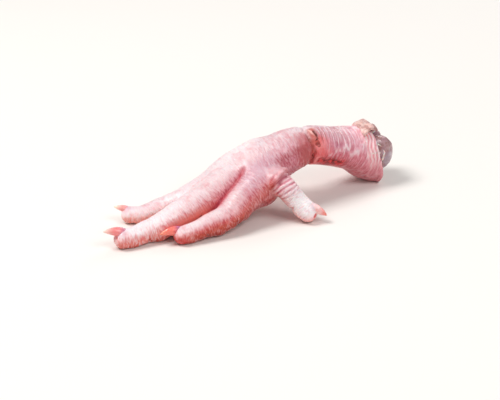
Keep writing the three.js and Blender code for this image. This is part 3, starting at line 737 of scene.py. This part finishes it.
# ------------------------------------------------------------------ node helpers
class Nodes:
    def __init__(self, name):
        self.mat = bpy.data.materials.new(name)
        self.mat.use_nodes = True
        self.t = self.mat.node_tree
        self.bsdf = next(n for n in self.t.nodes if n.type == "BSDF_PRINCIPLED")
        self.geo = None

    def new(self, kind, **sets):
        n = self.t.nodes.new(kind)
        for k, v in sets.items():
            setattr(n, k, v)
        return n

    def put(self, socket, v):
        if isinstance(v, bpy.types.NodeSocket):
            self.t.links.new(v, socket)
        elif isinstance(v, (tuple, list)) and len(v) == 3 and socket.type == "RGBA":
            socket.default_value = (*v, 1)
        else:
            socket.default_value = v

    def attr(self, name):
        n = self.new("ShaderNodeAttribute", attribute_name=name)
        return n.outputs["Fac"]

    def vattr(self, name):
        return self.new("ShaderNodeAttribute", attribute_name=name).outputs["Vector"]

    def place(self):
        if self.geo is None:
            self.geo = self.new("ShaderNodeTexCoord")
        return self.geo.outputs["Object"]

    def scaled(self, v, s):
        n = self.new("ShaderNodeMapping")
        self.put(n.inputs["Vector"], v)
        n.inputs["Scale"].default_value = s if isinstance(s, (tuple, list)) else (s, s, s)
        return n.outputs["Vector"]

    def noise(self, scale, detail=3.0, rough=0.55, v=None, distort=0.0):
        n = self.new("ShaderNodeTexNoise")
        self.put(n.inputs["Vector"], v if v is not None else self.place())
        n.inputs["Scale"].default_value = scale
        n.inputs["Detail"].default_value = detail
        n.inputs["Roughness"].default_value = rough
        n.inputs["Distortion"].default_value = distort
        return n.outputs["Fac"]

    def voronoi(self, scale, v=None, feature="F1", rand=1.0, out="Distance"):
        n = self.new("ShaderNodeTexVoronoi", feature=feature)
        self.put(n.inputs["Vector"], v if v is not None else self.place())
        n.inputs["Scale"].default_value = scale
        n.inputs["Randomness"].default_value = rand
        return n.outputs[out]

    def math(self, op, a, b=0.0, c=0.0, clamp=False):
        n = self.new("ShaderNodeMath", operation=op, use_clamp=clamp)
        for s, v in zip(n.inputs, (a, b, c)):
            self.put(s, v)
        return n.outputs[0]

    def ramp(self, v, lo, hi, a=0.0, b=1.0):
        n = self.new("ShaderNodeMapRange", interpolation_type="SMOOTHSTEP")
        self.put(n.inputs["Value"], v)
        for k, x in (("From Min", lo), ("From Max", hi), ("To Min", a), ("To Max", b)):
            n.inputs[k].default_value = x
        return n.outputs[0]

    def mix(self, a, b, fac, mode="MIX"):
        n = self.new("ShaderNodeMix", data_type="RGBA", blend_type=mode)
        n.clamp_factor = True
        col = [s for s in n.inputs if s.type == "RGBA"]
        self.put(n.inputs[0], fac)
        self.put(col[0], a)
        self.put(col[1], b)
        return next(s for s in n.outputs if s.type == "RGBA")

    def stops(self, v, colours):
        n = self.new("ShaderNodeValToRGB")
        e = n.color_ramp.elements
        while len(e) < len(colours):
            e.new(0.5)
        for x, (at, c) in zip(e, colours):
            x.position = at
            x.color = (*rgb(*c), 1)
        self.put(n.inputs[0], v)
        return n.outputs[0]

    def bump(self, h, dist, strength=1.0, after=None):
        n = self.new("ShaderNodeBump")
        self.put(n.inputs["Height"], h)
        n.inputs["Strength"].default_value = strength
        n.inputs["Distance"].default_value = dist
        if after is not None:
            self.put(n.inputs["Normal"], after)
        return n.outputs["Normal"]

    def set(self, **sockets):
        for k, v in sockets.items():
            self.put(self.bsdf.inputs[k.replace("_", " ")], v)


def rgb(r, g, b):
    """An sRGB colour, 0 to 255, as linear numbers."""
    lin = lambda c: c / 12.92 if c <= 0.04045 else ((c + 0.055) / 1.055) ** 2.4
    return tuple(lin(v / 255) for v in (r, g, b))


# ------------------------------------------------------------------ materials
def skin_material():
    m = Nodes("raw_skin")
    ridge, cavity_shade, wide, up, seam = m.attr("ridge"), m.attr("cavity_shade"), m.attr("wide"), m.attr("up"), m.attr("seam")
    limb = m.vattr("limb")
    blotch = m.noise(160, 4, 0.6)
    patch = m.noise(70, 3, 0.5)
    grain = m.noise(900, 3, 0.6)
    # short strokes across each limb, and the thin furrows between rows of papillae
    stroke = m.noise(1.0, 2.5, 0.5, m.scaled(limb, (1.5, 0.36, 1.0)), 0.35)
    furrow = m.voronoi(1.0, m.scaled(limb, (0.8, 0.3, 1.0)), "DISTANCE_TO_EDGE")
    loose = m.noise(1.0, 2.0, 0.5, m.scaled(m.place(), (820.0, 260.0, 330.0)), 0.35)
    stroke = m.math("ADD", loose, m.math("MULTIPLY", seam, m.math("SUBTRACT", stroke, loose)))
    line = m.math("MULTIPLY", seam, m.ramp(furrow, 0.16, 0.02))
    # pale on top, pink at the sides, redder below, and paler again under the soles; partly the skin's own colour,
    # partly painted light: the near-white tops stand in for light from above and the dark red band low on the sides for
    # shade with warm reflected light
    tilt = m.math("ADD", up, m.math("MULTIPLY", m.math("SUBTRACT", patch, 0.5), 0.22))
    tilt = m.math("ADD", tilt, m.math("MULTIPLY", m.math("SUBTRACT", ridge, 0.5), 0.1), clamp=True)
    toes = m.stops(tilt, [(0.0, (236, 170, 158)), (0.2, (222, 112, 94)), (0.48, (238, 150, 140)), (0.66, (250, 198, 196)), (0.82, (255, 241, 243)), (1.0, (247, 233, 237))])
    # this ramp's dark red band low on the sides is painted shade with warm reflected light
    rosy_shade = m.stops(tilt, [(0.0, (228, 150, 138)), (0.2, (172, 54, 36)), (0.48, (203, 76, 50)), (0.66, (230, 124, 120)), (0.84, (230, 178, 184)), (1.0, (233, 216, 220))])
    low = m.stops(tilt, [(0.0, (220, 140, 134)), (0.2, (204, 106, 108)), (0.48, (202, 98, 102)), (0.7, (192, 100, 108)), (0.84, (223, 166, 178)), (1.0, (230, 211, 216))])
    high = m.stops(tilt, [(0.0, (228, 150, 150)), (0.2, (206, 92, 100)), (0.48, (222, 124, 140)), (0.72, (224, 160, 178)), (0.9, (217, 174, 184)), (1.0, (218, 182, 190))])
    hind = m.stops(tilt, [(0.0, (240, 184, 176)), (0.2, (244, 172, 166)), (0.48, (255, 238, 239)), (0.66, (255, 251, 252)), (0.84, (255, 250, 252)), (1.0, (252, 242, 245))])
    pale = m.stops(tilt, [(0.0, (240, 184, 172)), (0.2, (228, 130, 110)), (0.48, (246, 180, 170)), (0.66, (255, 236, 236)), (0.82, (251, 234, 237)), (1.0, (236, 218, 223))])
    col = m.mix(toes, rosy_shade, m.attr("rosy_shade"))
    col = m.mix(col, pale, m.attr("pale"))
    col = m.mix(col, low, m.attr("lower"))
    col = m.mix(col, rgb(216, 138, 154), m.math("MULTIPLY", m.attr("under"), m.ramp(up, 0.8, 0.6, 0.0, 0.8)))
    col = m.mix(col, high, m.attr("upper"))
    # painted light: paler pink towards the hock end, most where the skin faces up
    col = m.mix(col, rgb(255, 212, 224), m.math("MULTIPLY", m.attr("hockward"), m.ramp(up, 0.4, 0.75, 0.2, 0.8)))
    col = m.mix(col, rgb(214, 168, 184), m.math("MULTIPLY", m.attr("palm"), m.ramp(up, 0.6, 0.9, 0.2, 0.75)))
    col = m.mix(col, hind, m.attr("hindtoe"))
    col = m.mix(col, m.mix(col, rgb(220, 118, 140), 1.0, "MULTIPLY"), m.math("MULTIPLY", m.attr("root"), m.ramp(ridge, 0.7, 0.25, 0.35, 1.0)))
    # furrows redder, fold tops whiter, more so at the sides than on top; where this follows the folds' height it is
    # painted shade in the furrows and painted highlight on the fold tops, and where it follows the strokes it is the
    # skin's own streaks
    red = m.math("MAXIMUM", m.math("MAXIMUM", m.attr("rosy_shade"), m.attr("lower")), m.attr("upper"))
    red = m.math("MULTIPLY", red, m.ramp(up, 0.95, 0.7))
    side = m.math("MULTIPLY", m.math("MAXIMUM", m.ramp(up, 1.0, 0.68, 0.2, 1.0), m.math("MULTIPLY", m.math("MAXIMUM", m.attr("lower"), m.attr("upper")), 0.5)), m.ramp(m.math("MAXIMUM", m.attr("hindtoe"), m.math("MULTIPLY", m.attr("pale"), 0.7)), 0.0, 1.0, 1.0, 0.5))
    thin = m.math("MULTIPLY", side, m.ramp(m.attr("upper"), 0.0, 1.0, 1.0, 0.55))
    tint = m.mix(rgb(238, 180, 188), rgb(222, 150, 166), red)
    dark = m.mix(col, tint, 1.0, "MULTIPLY")
    redder = m.math("MULTIPLY", m.attr("rosy_shade"), m.ramp(up, 0.95, 0.7))
    light = m.ramp(redder, 0.0, 1.0, 1.0, 0.6)
    col = m.mix(col, dark, m.math("MULTIPLY", thin, m.ramp(ridge, 0.58, 0.15, 0.0, 0.5)))
    col = m.mix(col, rgb(251, 234, 236), m.math("MULTIPLY", m.math("MULTIPLY", thin, light), m.ramp(ridge, 0.5, 0.9, 0.0, 0.34)))
    col = m.mix(col, dark, m.math("MULTIPLY", thin, m.ramp(stroke, 0.5, 0.34, 0.0, 0.85)))
    col = m.mix(col, m.mix(rgb(252, 234, 239), rgb(244, 198, 206), redder), m.math("MULTIPLY", m.math("MULTIPLY", thin, light), m.ramp(stroke, 0.5, 0.64, 0.0, 0.55)))
    col = m.mix(col, dark, m.math("MULTIPLY", side, m.math("MULTIPLY", line, 0.3)))
    # blood under the skin in soft patches
    col = m.mix(col, m.mix(col, rgb(238, 164, 172), 1.0, "MULTIPLY"), m.ramp(blotch, 0.5, 0.76, 0.0, 0.5))
    # thin whitish rings round the upper shank
    fr = m.attr("scute")
    broken = m.ramp(m.noise(1.0, 2.0, 0.5, m.scaled(limb, (0.5, 0.3, 1.0))), 0.4, 0.56)
    ring = m.math("MULTIPLY", m.math("MULTIPLY", m.ramp(fr, 0.24, 0.04), broken), m.attr("upper"))
    shade = m.math("MULTIPLY", m.math("MULTIPLY", m.ramp(fr, 0.7, 0.42), m.ramp(fr, 0.2, 0.4)), m.attr("upper"))
    col = m.mix(col, m.mix(col, rgb(226, 168, 178), 1.0, "MULTIPLY"), m.math("MULTIPLY", shade, 0.5))
    # painted shade: deep magenta where skin meets skin in the valley between the toes, and lighter salmon away from the
    # palm as painted reflected light
    col = m.mix(col, m.mix(rgb(238, 152, 148), m.mix(rgb(182, 54, 76), rgb(230, 138, 150), m.ramp(stroke, 0.35, 0.62)), m.attr("palmward_shade")), m.math("MULTIPLY", m.attr("flank"), m.ramp(up, 1.0, 0.8, 0.35, 0.92)))
    # painted shade: redder and darker in hollows, by how enclosed the surface is
    col = m.mix(col, rgb(206, 92, 90), m.ramp(wide, 0.4, 0.95, 0.0, 0.42))
    col = m.mix(col, rgb(172, 54, 60), m.ramp(cavity_shade, 0.45, 1.0, 0.0, 0.34))
    # painted shade: dark red along the groove between the middle and near toes, paler away from the palm
    col = m.mix(col, m.mix(rgb(238, 136, 130), rgb(182, 36, 60), m.attr("palmward_shade")), m.math("MULTIPLY", m.attr("groove"), m.ramp(stroke, 0.3, 0.7, 1.0, 0.8)))
    # painted reflected light: paler salmon deep in the gap between the toes near their tips
    col = m.mix(col, rgb(246, 156, 144), m.math("MULTIPLY", m.attr("gap_bounce_light"), 0.7))
    # a pink fold of skin over the hind toe's root, paler where it faces up, and painted shade: dark red in the pocket
    # under it
    col = m.mix(col, m.mix(rgb(222, 142, 154), rgb(248, 202, 208), m.ramp(up, 0.5, 0.95)), m.math("MULTIPLY", m.attr("fold"), 0.6))
    col = m.mix(col, rgb(182, 84, 102), m.math("MULTIPLY", m.attr("pocket"), 0.95))
    # bruise and raw flesh, and painted shade: dark red where the lower shank turns away beside the bend and in the
    # crease
    col = m.mix(col, rgb(184, 82, 84), m.math("MULTIPLY", m.attr("turn"), m.ramp(ridge, 0.2, 0.8, 0.95, 0.55)))
    col = m.mix(col, m.mix(rgb(252, 142, 142), rgb(234, 98, 100), m.ramp(blotch, 0.42, 0.66)), m.math("MULTIPLY", m.attr("bruise"), 0.9))
    col = m.mix(col, rgb(250, 230, 234), m.math("MULTIPLY", m.math("MULTIPLY", ring, m.ramp(up, 0.25, 0.7, 0.15, 0.7)), m.ramp(m.attr("bruise"), 0.1, 0.7, 1.0, 0.15)))
    col = m.mix(col, rgb(176, 84, 74), m.math("MULTIPLY", m.attr("pleats"), 0.75))
    # painted shade: dark red in the crease of the bend
    col = m.mix(col, rgb(150, 58, 48), m.math("MULTIPLY", m.attr("crease"), 0.85))
    col = m.mix(col, m.mix(rgb(138, 18, 24), rgb(222, 56, 60), m.ramp(m.noise(380, 2, 0.5), 0.42, 0.6)), m.attr("raw"))
    col = m.mix(col, rgb(196, 94, 84), m.math("MULTIPLY", m.attr("wound"), 0.9))
    col = m.mix(col, m.mix(rgb(226, 138, 128), rgb(250, 200, 192), m.ramp(stroke, 0.35, 0.6)), m.math("MULTIPLY", m.attr("core"), 0.85))
    col = m.mix(col, rgb(110, 34, 28), m.attr("slit"))
    col = m.mix(col, m.mix(rgb(108, 34, 28), rgb(178, 66, 58), m.ramp(grain, 0.4, 0.6)), m.ramp(m.attr("crust"), 0.2, 0.9, 0.0, 0.85))
    # bands at the hock, tan lip, and the flesh inside the rim
    band = m.mix(rgb(240, 154, 164), rgb(255, 226, 228), m.ramp(ridge, 0.25, 0.75))
    col = m.mix(col, band, m.math("MULTIPLY", m.attr("bands"), m.ramp(up, 0.1, 0.4, 0.35, 0.8)))
    tan = m.mix(rgb(194, 142, 134), rgb(234, 198, 190), m.ramp(m.noise(330, 3, 0.6), 0.4, 0.58))
    tan = m.mix(tan, rgb(142, 84, 80), m.ramp(m.attr("past"), -1.0, 2.0, 0.0, 0.75))
    col = m.mix(col, tan, m.math("MULTIPLY", m.attr("lip"), 0.92))
    col = m.mix(col, m.mix(col, rgb(236, 108, 112), 1.0, "MULTIPLY"), m.math("MULTIPLY", m.attr("tipred"), 0.85))
    col = m.mix(col, rgb(214, 142, 168), m.math("MULTIPLY", m.attr("cuticle"), 0.4))
    col = m.mix(col, rgb(206, 52, 56), m.ramp(m.attr("quick"), 0.3, 0.75, 0.0, 0.9))
    flesh = m.mix(rgb(196, 96, 92), rgb(232, 176, 168), m.ramp(blotch, 0.35, 0.65))
    col = m.mix(col, flesh, m.attr("inside"))
    m.set(Base_Color=col)
    wet = m.noise(220, 2, 0.5)
    m.set(Roughness=m.ramp(wet, 0.3, 0.7, 0.3, 0.5))
    m.set(Specular_IOR_Level=0.4, Coat_Weight=0.2, Coat_Roughness=0.2)
    m.set(Subsurface_Weight=0.2, Subsurface_Scale=0.0009)
    m.bsdf.inputs["Subsurface Radius"].default_value = (1.0, 0.42, 0.32)
    b = m.bump(stroke, 0.0004, 0.9)
    b = m.bump(m.math("SUBTRACT", 1.0, line), 0.0001, 0.5, b)
    b = m.bump(ring, 0.00016, 0.6, b)
    b = m.bump(grain, 0.00007, 0.5, b)
    m.set(Normal=b)
    return m.mat


def joint_material():
    m = Nodes("joint_gristle")
    a, b = m.noise(170, 4, 0.6), m.noise(420, 3, 0.6)
    col = m.mix(rgb(146, 100, 110), rgb(188, 150, 156), m.ramp(a, 0.35, 0.65))
    col = m.mix(col, rgb(142, 90, 80), m.ramp(b, 0.46, 0.68, 0.0, 0.75))
    col = m.mix(col, rgb(176, 170, 188), m.ramp(m.noise(120, 2, 0.5), 0.55, 0.7, 0.0, 0.4))
    col = m.mix(col, rgb(232, 218, 216), m.ramp(m.noise(260, 2, 0.5), 0.62, 0.76, 0.0, 0.6))
    m.set(Base_Color=col)
    m.set(Roughness=m.ramp(b, 0.3, 0.7, 0.16, 0.34))
    m.set(Specular_IOR_Level=0.55, Coat_Weight=0.5, Coat_Roughness=0.08)
    m.set(Subsurface_Weight=0.3, Subsurface_Scale=0.0015)
    m.bsdf.inputs["Subsurface Radius"].default_value = (0.8, 0.5, 0.5)
    n = m.bump(m.noise(500, 4, 0.6), 0.0002, 0.5)
    m.set(Normal=n)
    return m.mat


def gristle_material():
    m = Nodes("pale_tendon")
    a = m.noise(300, 4, 0.6)
    col = m.mix(rgb(226, 196, 190), rgb(246, 236, 230), m.ramp(a, 0.35, 0.6))
    col = m.mix(col, rgb(190, 110, 104), m.ramp(m.noise(180, 3, 0.6), 0.56, 0.72, 0.0, 0.7))
    m.set(Base_Color=col)
    m.set(Roughness=m.ramp(a, 0.3, 0.7, 0.2, 0.4))
    m.set(Specular_IOR_Level=0.5, Coat_Weight=0.4, Coat_Roughness=0.1)
    m.set(Subsurface_Weight=0.35, Subsurface_Scale=0.0012)
    m.set(Normal=m.bump(m.noise(900, 3, 0.6), 0.0001, 0.5))
    return m.mat


def claw_material(name, base, body, point):
    m = Nodes("horn_" + name)
    t = m.attr("tipward")
    a = m.noise(500, 3, 0.6)
    col = m.mix(rgb(*base), rgb(*body), m.ramp(t, 0.0, 0.42))
    col = m.mix(col, rgb(*point), m.ramp(t, 0.5, 1.0))
    col = m.mix(col, m.mix(col, rgb(236, 150, 150), 1.0, "MULTIPLY"), m.ramp(a, 0.5, 0.72, 0.0, 0.5))
    m.set(Base_Color=col)
    m.set(Roughness=m.ramp(a, 0.3, 0.7, 0.22, 0.36))
    m.set(Specular_IOR_Level=0.5, Coat_Weight=0.3, Coat_Roughness=0.12)
    m.set(Subsurface_Weight=0.4, Subsurface_Scale=0.0015)
    m.bsdf.inputs["Subsurface Radius"].default_value = (1.0, 0.4, 0.35)
    lines = m.noise(1.0, 3, 0.5, m.scaled(m.vattr("limb"), (0.6, 9.0, 1.0)))
    m.set(Normal=m.bump(lines, 0.00008, 0.6))
    return m.mat


# ------------------------------------------------------------------ pieces
def make_claw(name, c, back, wide, high, lift):
    """A claw; it starts that far back inside the toe and is that much broader and higher there."""
    start, tip = np.array(c["start"]), np.array(c["tip"]) + [0, 0, lift]
    start = start - unit(tip - start) * back
    length = np.linalg.norm(tip - start)
    axis = unit(tip - start)
    side = unit(np.cross(axis, [0, 0, 1.0]))
    up = np.cross(side, axis)
    rings, sides = 34, 36
    P, T, C = [], [], []
    for i in range(rings + 1):
        t = -c["root"] / length + (1 + c["root"] / length) * i / rings
        out = min(max(t, 0), 1)
        mid = start + axis * t * length + up * c["bow"] * 4 * out * (1 - out) * (1 - 0.3 * out)
        r = 0.72 + 0.28 * (1 + t * length / c["root"]) if t < 0 else max(1 - out**1.45, 0) ** 0.72 * 0.94 + 0.06
        for j in range(sides):
            f = 2 * math.pi * j / sides
            # a keel above and a flatter sole below
            a = wide * c["w"] * r * math.cos(f)
            b = high * c["h"] * r * (math.sin(f) if math.sin(f) > 0 else 0.82 * math.sin(f))
            a *= 1 - 0.16 * max(math.sin(f), 0) ** 2
            P.append(mid + side * a + up * b)
            T.append(out)
            C.append([t * length, f * c["w"], 0])
    P.append(start - axis * (c["root"] + 0.5))
    P.append(tip + axis * 0.25)
    T += [0, 1]
    C += [[0, 0, 0], [length, 0, 0]]
    P, T, C = np.array(P), np.array(T), np.array(C)
    quads = []
    for i in range(rings):
        for j in range(sides):
            k = (j + 1) % sides
            quads.append([i * sides + j, (i + 1) * sides + j, (i + 1) * sides + k, i * sides + k])
    A, B, last = (rings + 1) * sides, (rings + 1) * sides + 1, rings * sides
    for j in range(0, sides, 2):
        quads.append([A, (j) % sides, (j + 1) % sides, (j + 2) % sides])
        quads.append([B, last + (j + 2) % sides, last + (j + 1) % sides, last + j])
    N = unit(P - (start + axis * ((P - start) @ axis)[:, None]))
    wob = 0.05 * noise(P, 1.3, 210) + 0.04 * np.cos((P - start) @ axis * 5.0) * (T < 0.5)
    P = P + N * wob[:, None] * np.where(np.arange(len(P)) < A, 1, 0)[:, None]
    ob = mesh_of("horn_" + name, P, np.array(quads), {"tipward": T}, C)
    return ob


def make_joint():
    def f(P):
        d = joint_body(P)
        ridge = bell((P[:, 1] - LOBE_MID_Y), 1.1) * step(60, 66, P[:, 0])
        d = d + 0.5 * ridge
        d = d - 0.4 * noise(P, 3.6, 301) - 0.2 * noise(P, 1.7, 305)
        return d

    P, F = nets(f, [27, -13, 0], [76, 17, 30], 0.6)
    P, F = largest(P, F)
    P = onto(f, P, 2)
    ob = mesh_of("joint_gristle_end", P, F)
    return ob


def make_gristle():
    """Cut tendons and shreds of membrane between the skin's edge and the joint."""
    base = CUT_AT - CUT_N * 2.2
    at = lambda ang, r, out=0.0: base + CUT_UP * math.cos(ang) * r + CUT_SIDE * math.sin(ang) * r + CUT_N * out
    stubs = []
    for ang, r, rad, out in ((3.14, 10.8, 1.5, 1.6), (2.62, 10.8, 1.2, 1.1), (-2.72, 10.6, 1.3, 1.9), (2.1, 10.3, 0.9, 0.8), (-2.1, 10.2, 1.0, 1.2), (0.5, 9.0, 0.9, 0.9), (-0.55, 9.1, 1.0, 1.4), (1.3, 9.9, 0.7, 1.0), (-1.4, 9.9, 0.8, 1.0)):
        stubs.append(([at(ang, r, -3.5), at(ang + 0.04, r, out * 0.5), at(ang + 0.1, r - 0.3, out + 1.0)], [rad, rad * 0.95, rad * 0.7]))
    strands = [
        ([at(-0.3, 9.3, 1.6), at(-0.6, 8.9, 3.4), at(-1.0, 9.3, 4.0), at(-1.35, 10.3, 2.4)], [0.5, 0.45, 0.45, 0.6]),
        ([at(0.2, 9.2, 1.6), at(0.0, 8.3, 4.6), at(-0.35, 7.6, 5.8), at(-0.9, 8.2, 5.4)], [0.55, 0.4, 0.35, 0.3]),
        ([at(2.2, 10.5, 1.4), at(2.45, 9.6, 3.2), at(2.8, 9.8, 3.0), at(3.1, 10.8, 1.2)], [0.5, 0.4, 0.4, 0.5]),
        ([at(0.95, 9.4, 2.0), at(1.15, 9.2, 4.0), at(1.45, 9.6, 4.4), at(1.75, 10.3, 2.6)], [0.45, 0.35, 0.35, 0.5]),
    ]

    def f(P):
        d = np.full(len(P), 1e3)
        for path, rad in stubs + strands:
            d = smin(d, chain(P, path, rad)[0], 0.7)
        return d - 0.12 * noise(P, 1.2, 401)

    P, F = nets(f, [45, -15, 0], [72, 19, 34], 0.42)
    P = onto(f, P, 2)
    return mesh_of("cut_tendons", P, F)


# ------------------------------------------------------------------ camera, light, floor
def make_camera():
    at = Vector((-0.270413, -0.580398, 0.320155))
    right, down, ahead = Vector((0.901333, -0.432136, -0.029289)), Vector((-0.213692, -0.384854, -0.897899)), Vector((0.376743, 0.815565, -0.439225))
    cam = bpy.data.objects.new("camera", bpy.data.cameras.new("camera"))
    bpy.context.scene.collection.objects.link(cam)
    cam.data.lens, cam.data.sensor_width, cam.data.sensor_fit = 112.81, 36.0, "HORIZONTAL"
    cam.data.clip_start, cam.data.clip_end = 0.02, 20
    m = Matrix((right, -down, -ahead)).transposed().to_4x4()
    m.translation = at
    cam.matrix_world = m
    bpy.context.scene.camera = cam
    return cam


def lamp(name, at, to, size, power, colour=(1, 1, 1)):
    data = bpy.data.lights.new(name, "AREA")
    data.shape, data.size, data.energy, data.color = "DISK", size, power, colour
    ob = bpy.data.objects.new(name, data)
    bpy.context.scene.collection.objects.link(ob)
    ob.location = at
    ob.rotation_mode = "QUATERNION"
    ob.rotation_quaternion = (Vector(to) - Vector(at)).to_track_quat("-Z", "Y")


def make_stage():
    n, r = 96, 3.0
    me = bpy.data.meshes.new("floor")
    me.from_pydata([(0, 0, 0)] + [(r * math.cos(2 * math.pi * i / n), r * math.sin(2 * math.pi * i / n), 0) for i in range(n)], [], [(0, i + 1, (i + 1) % n + 1) for i in range(n)])
    floor = bpy.data.objects.new("floor", me)
    bpy.context.scene.collection.objects.link(floor)
    m = Nodes("pale_floor")
    m.set(Base_Color=m.mix(rgb(238, 235, 231), rgb(241, 238, 235), m.noise(3, 2, 0.5)), Roughness=0.85)
    me.materials.append(m.mat)
    world = bpy.data.worlds.new("world")
    bpy.context.scene.world = world
    world.use_nodes = True
    bg = next(n for n in world.node_tree.nodes if n.type == "BACKGROUND")
    bg.inputs["Color"].default_value = (1.0, 0.985, 0.97, 1)
    bg.inputs["Strength"].default_value = 0.34
    lamp("key", (-0.5, 0.25, 0.95), (0, 0, 0.01), 0.5, 8.5, (1, 0.985, 0.96))
    lamp("front", (0.3, -0.7, 0.85), (0.01, 0, 0.01), 0.6, 4.2, (1, 0.99, 0.98))
    lamp("rim", (0.7, 0.4, 0.5), (0.02, 0, 0.01), 0.5, 1.6)
    bpy.context.scene.view_settings.view_transform = "Standard"
    bpy.context.scene.view_settings.look = "None"


# ------------------------------------------------------------------ build
make_camera()
make_stage()

skin = make_skin()
skin.data.materials.append(skin_material())
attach(skin, "root")
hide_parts("foot_flesh")

joint = make_joint()
joint.data.materials.append(joint_material())
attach(joint, "root")
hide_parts("joint_end")

gristle = make_gristle()
gristle.data.materials.append(gristle_material())
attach(gristle, "root")

HORN = {
    "middle": ((206, 130, 160), (248, 146, 146), (253, 214, 204), 1.3, 1.35, 1.3, 1.2),
    "outer": ((238, 176, 200), (250, 176, 172), (254, 232, 212), 0.9, 1.3, 1.25, 0.9),
    "inner": ((176, 96, 146), (250, 128, 116), (250, 150, 124), 1.0, 1.3, 1.45, 1.1),
    "hind": ((255, 216, 222), (255, 206, 204), (242, 130, 116), 0.9, 1.3, 1.45, 0.0),
}
for n, c in CLAWS.items():
    base, body, point, back, wide, high, lift = HORN[n]
    claw = make_claw(n, c, back, wide, high, lift)
    claw.data.materials.append(claw_material(n, base, body, point))
    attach(claw, "root")
    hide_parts("claw_" + n)

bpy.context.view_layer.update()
print("built in", round(time.time() - T0, 1), "s")
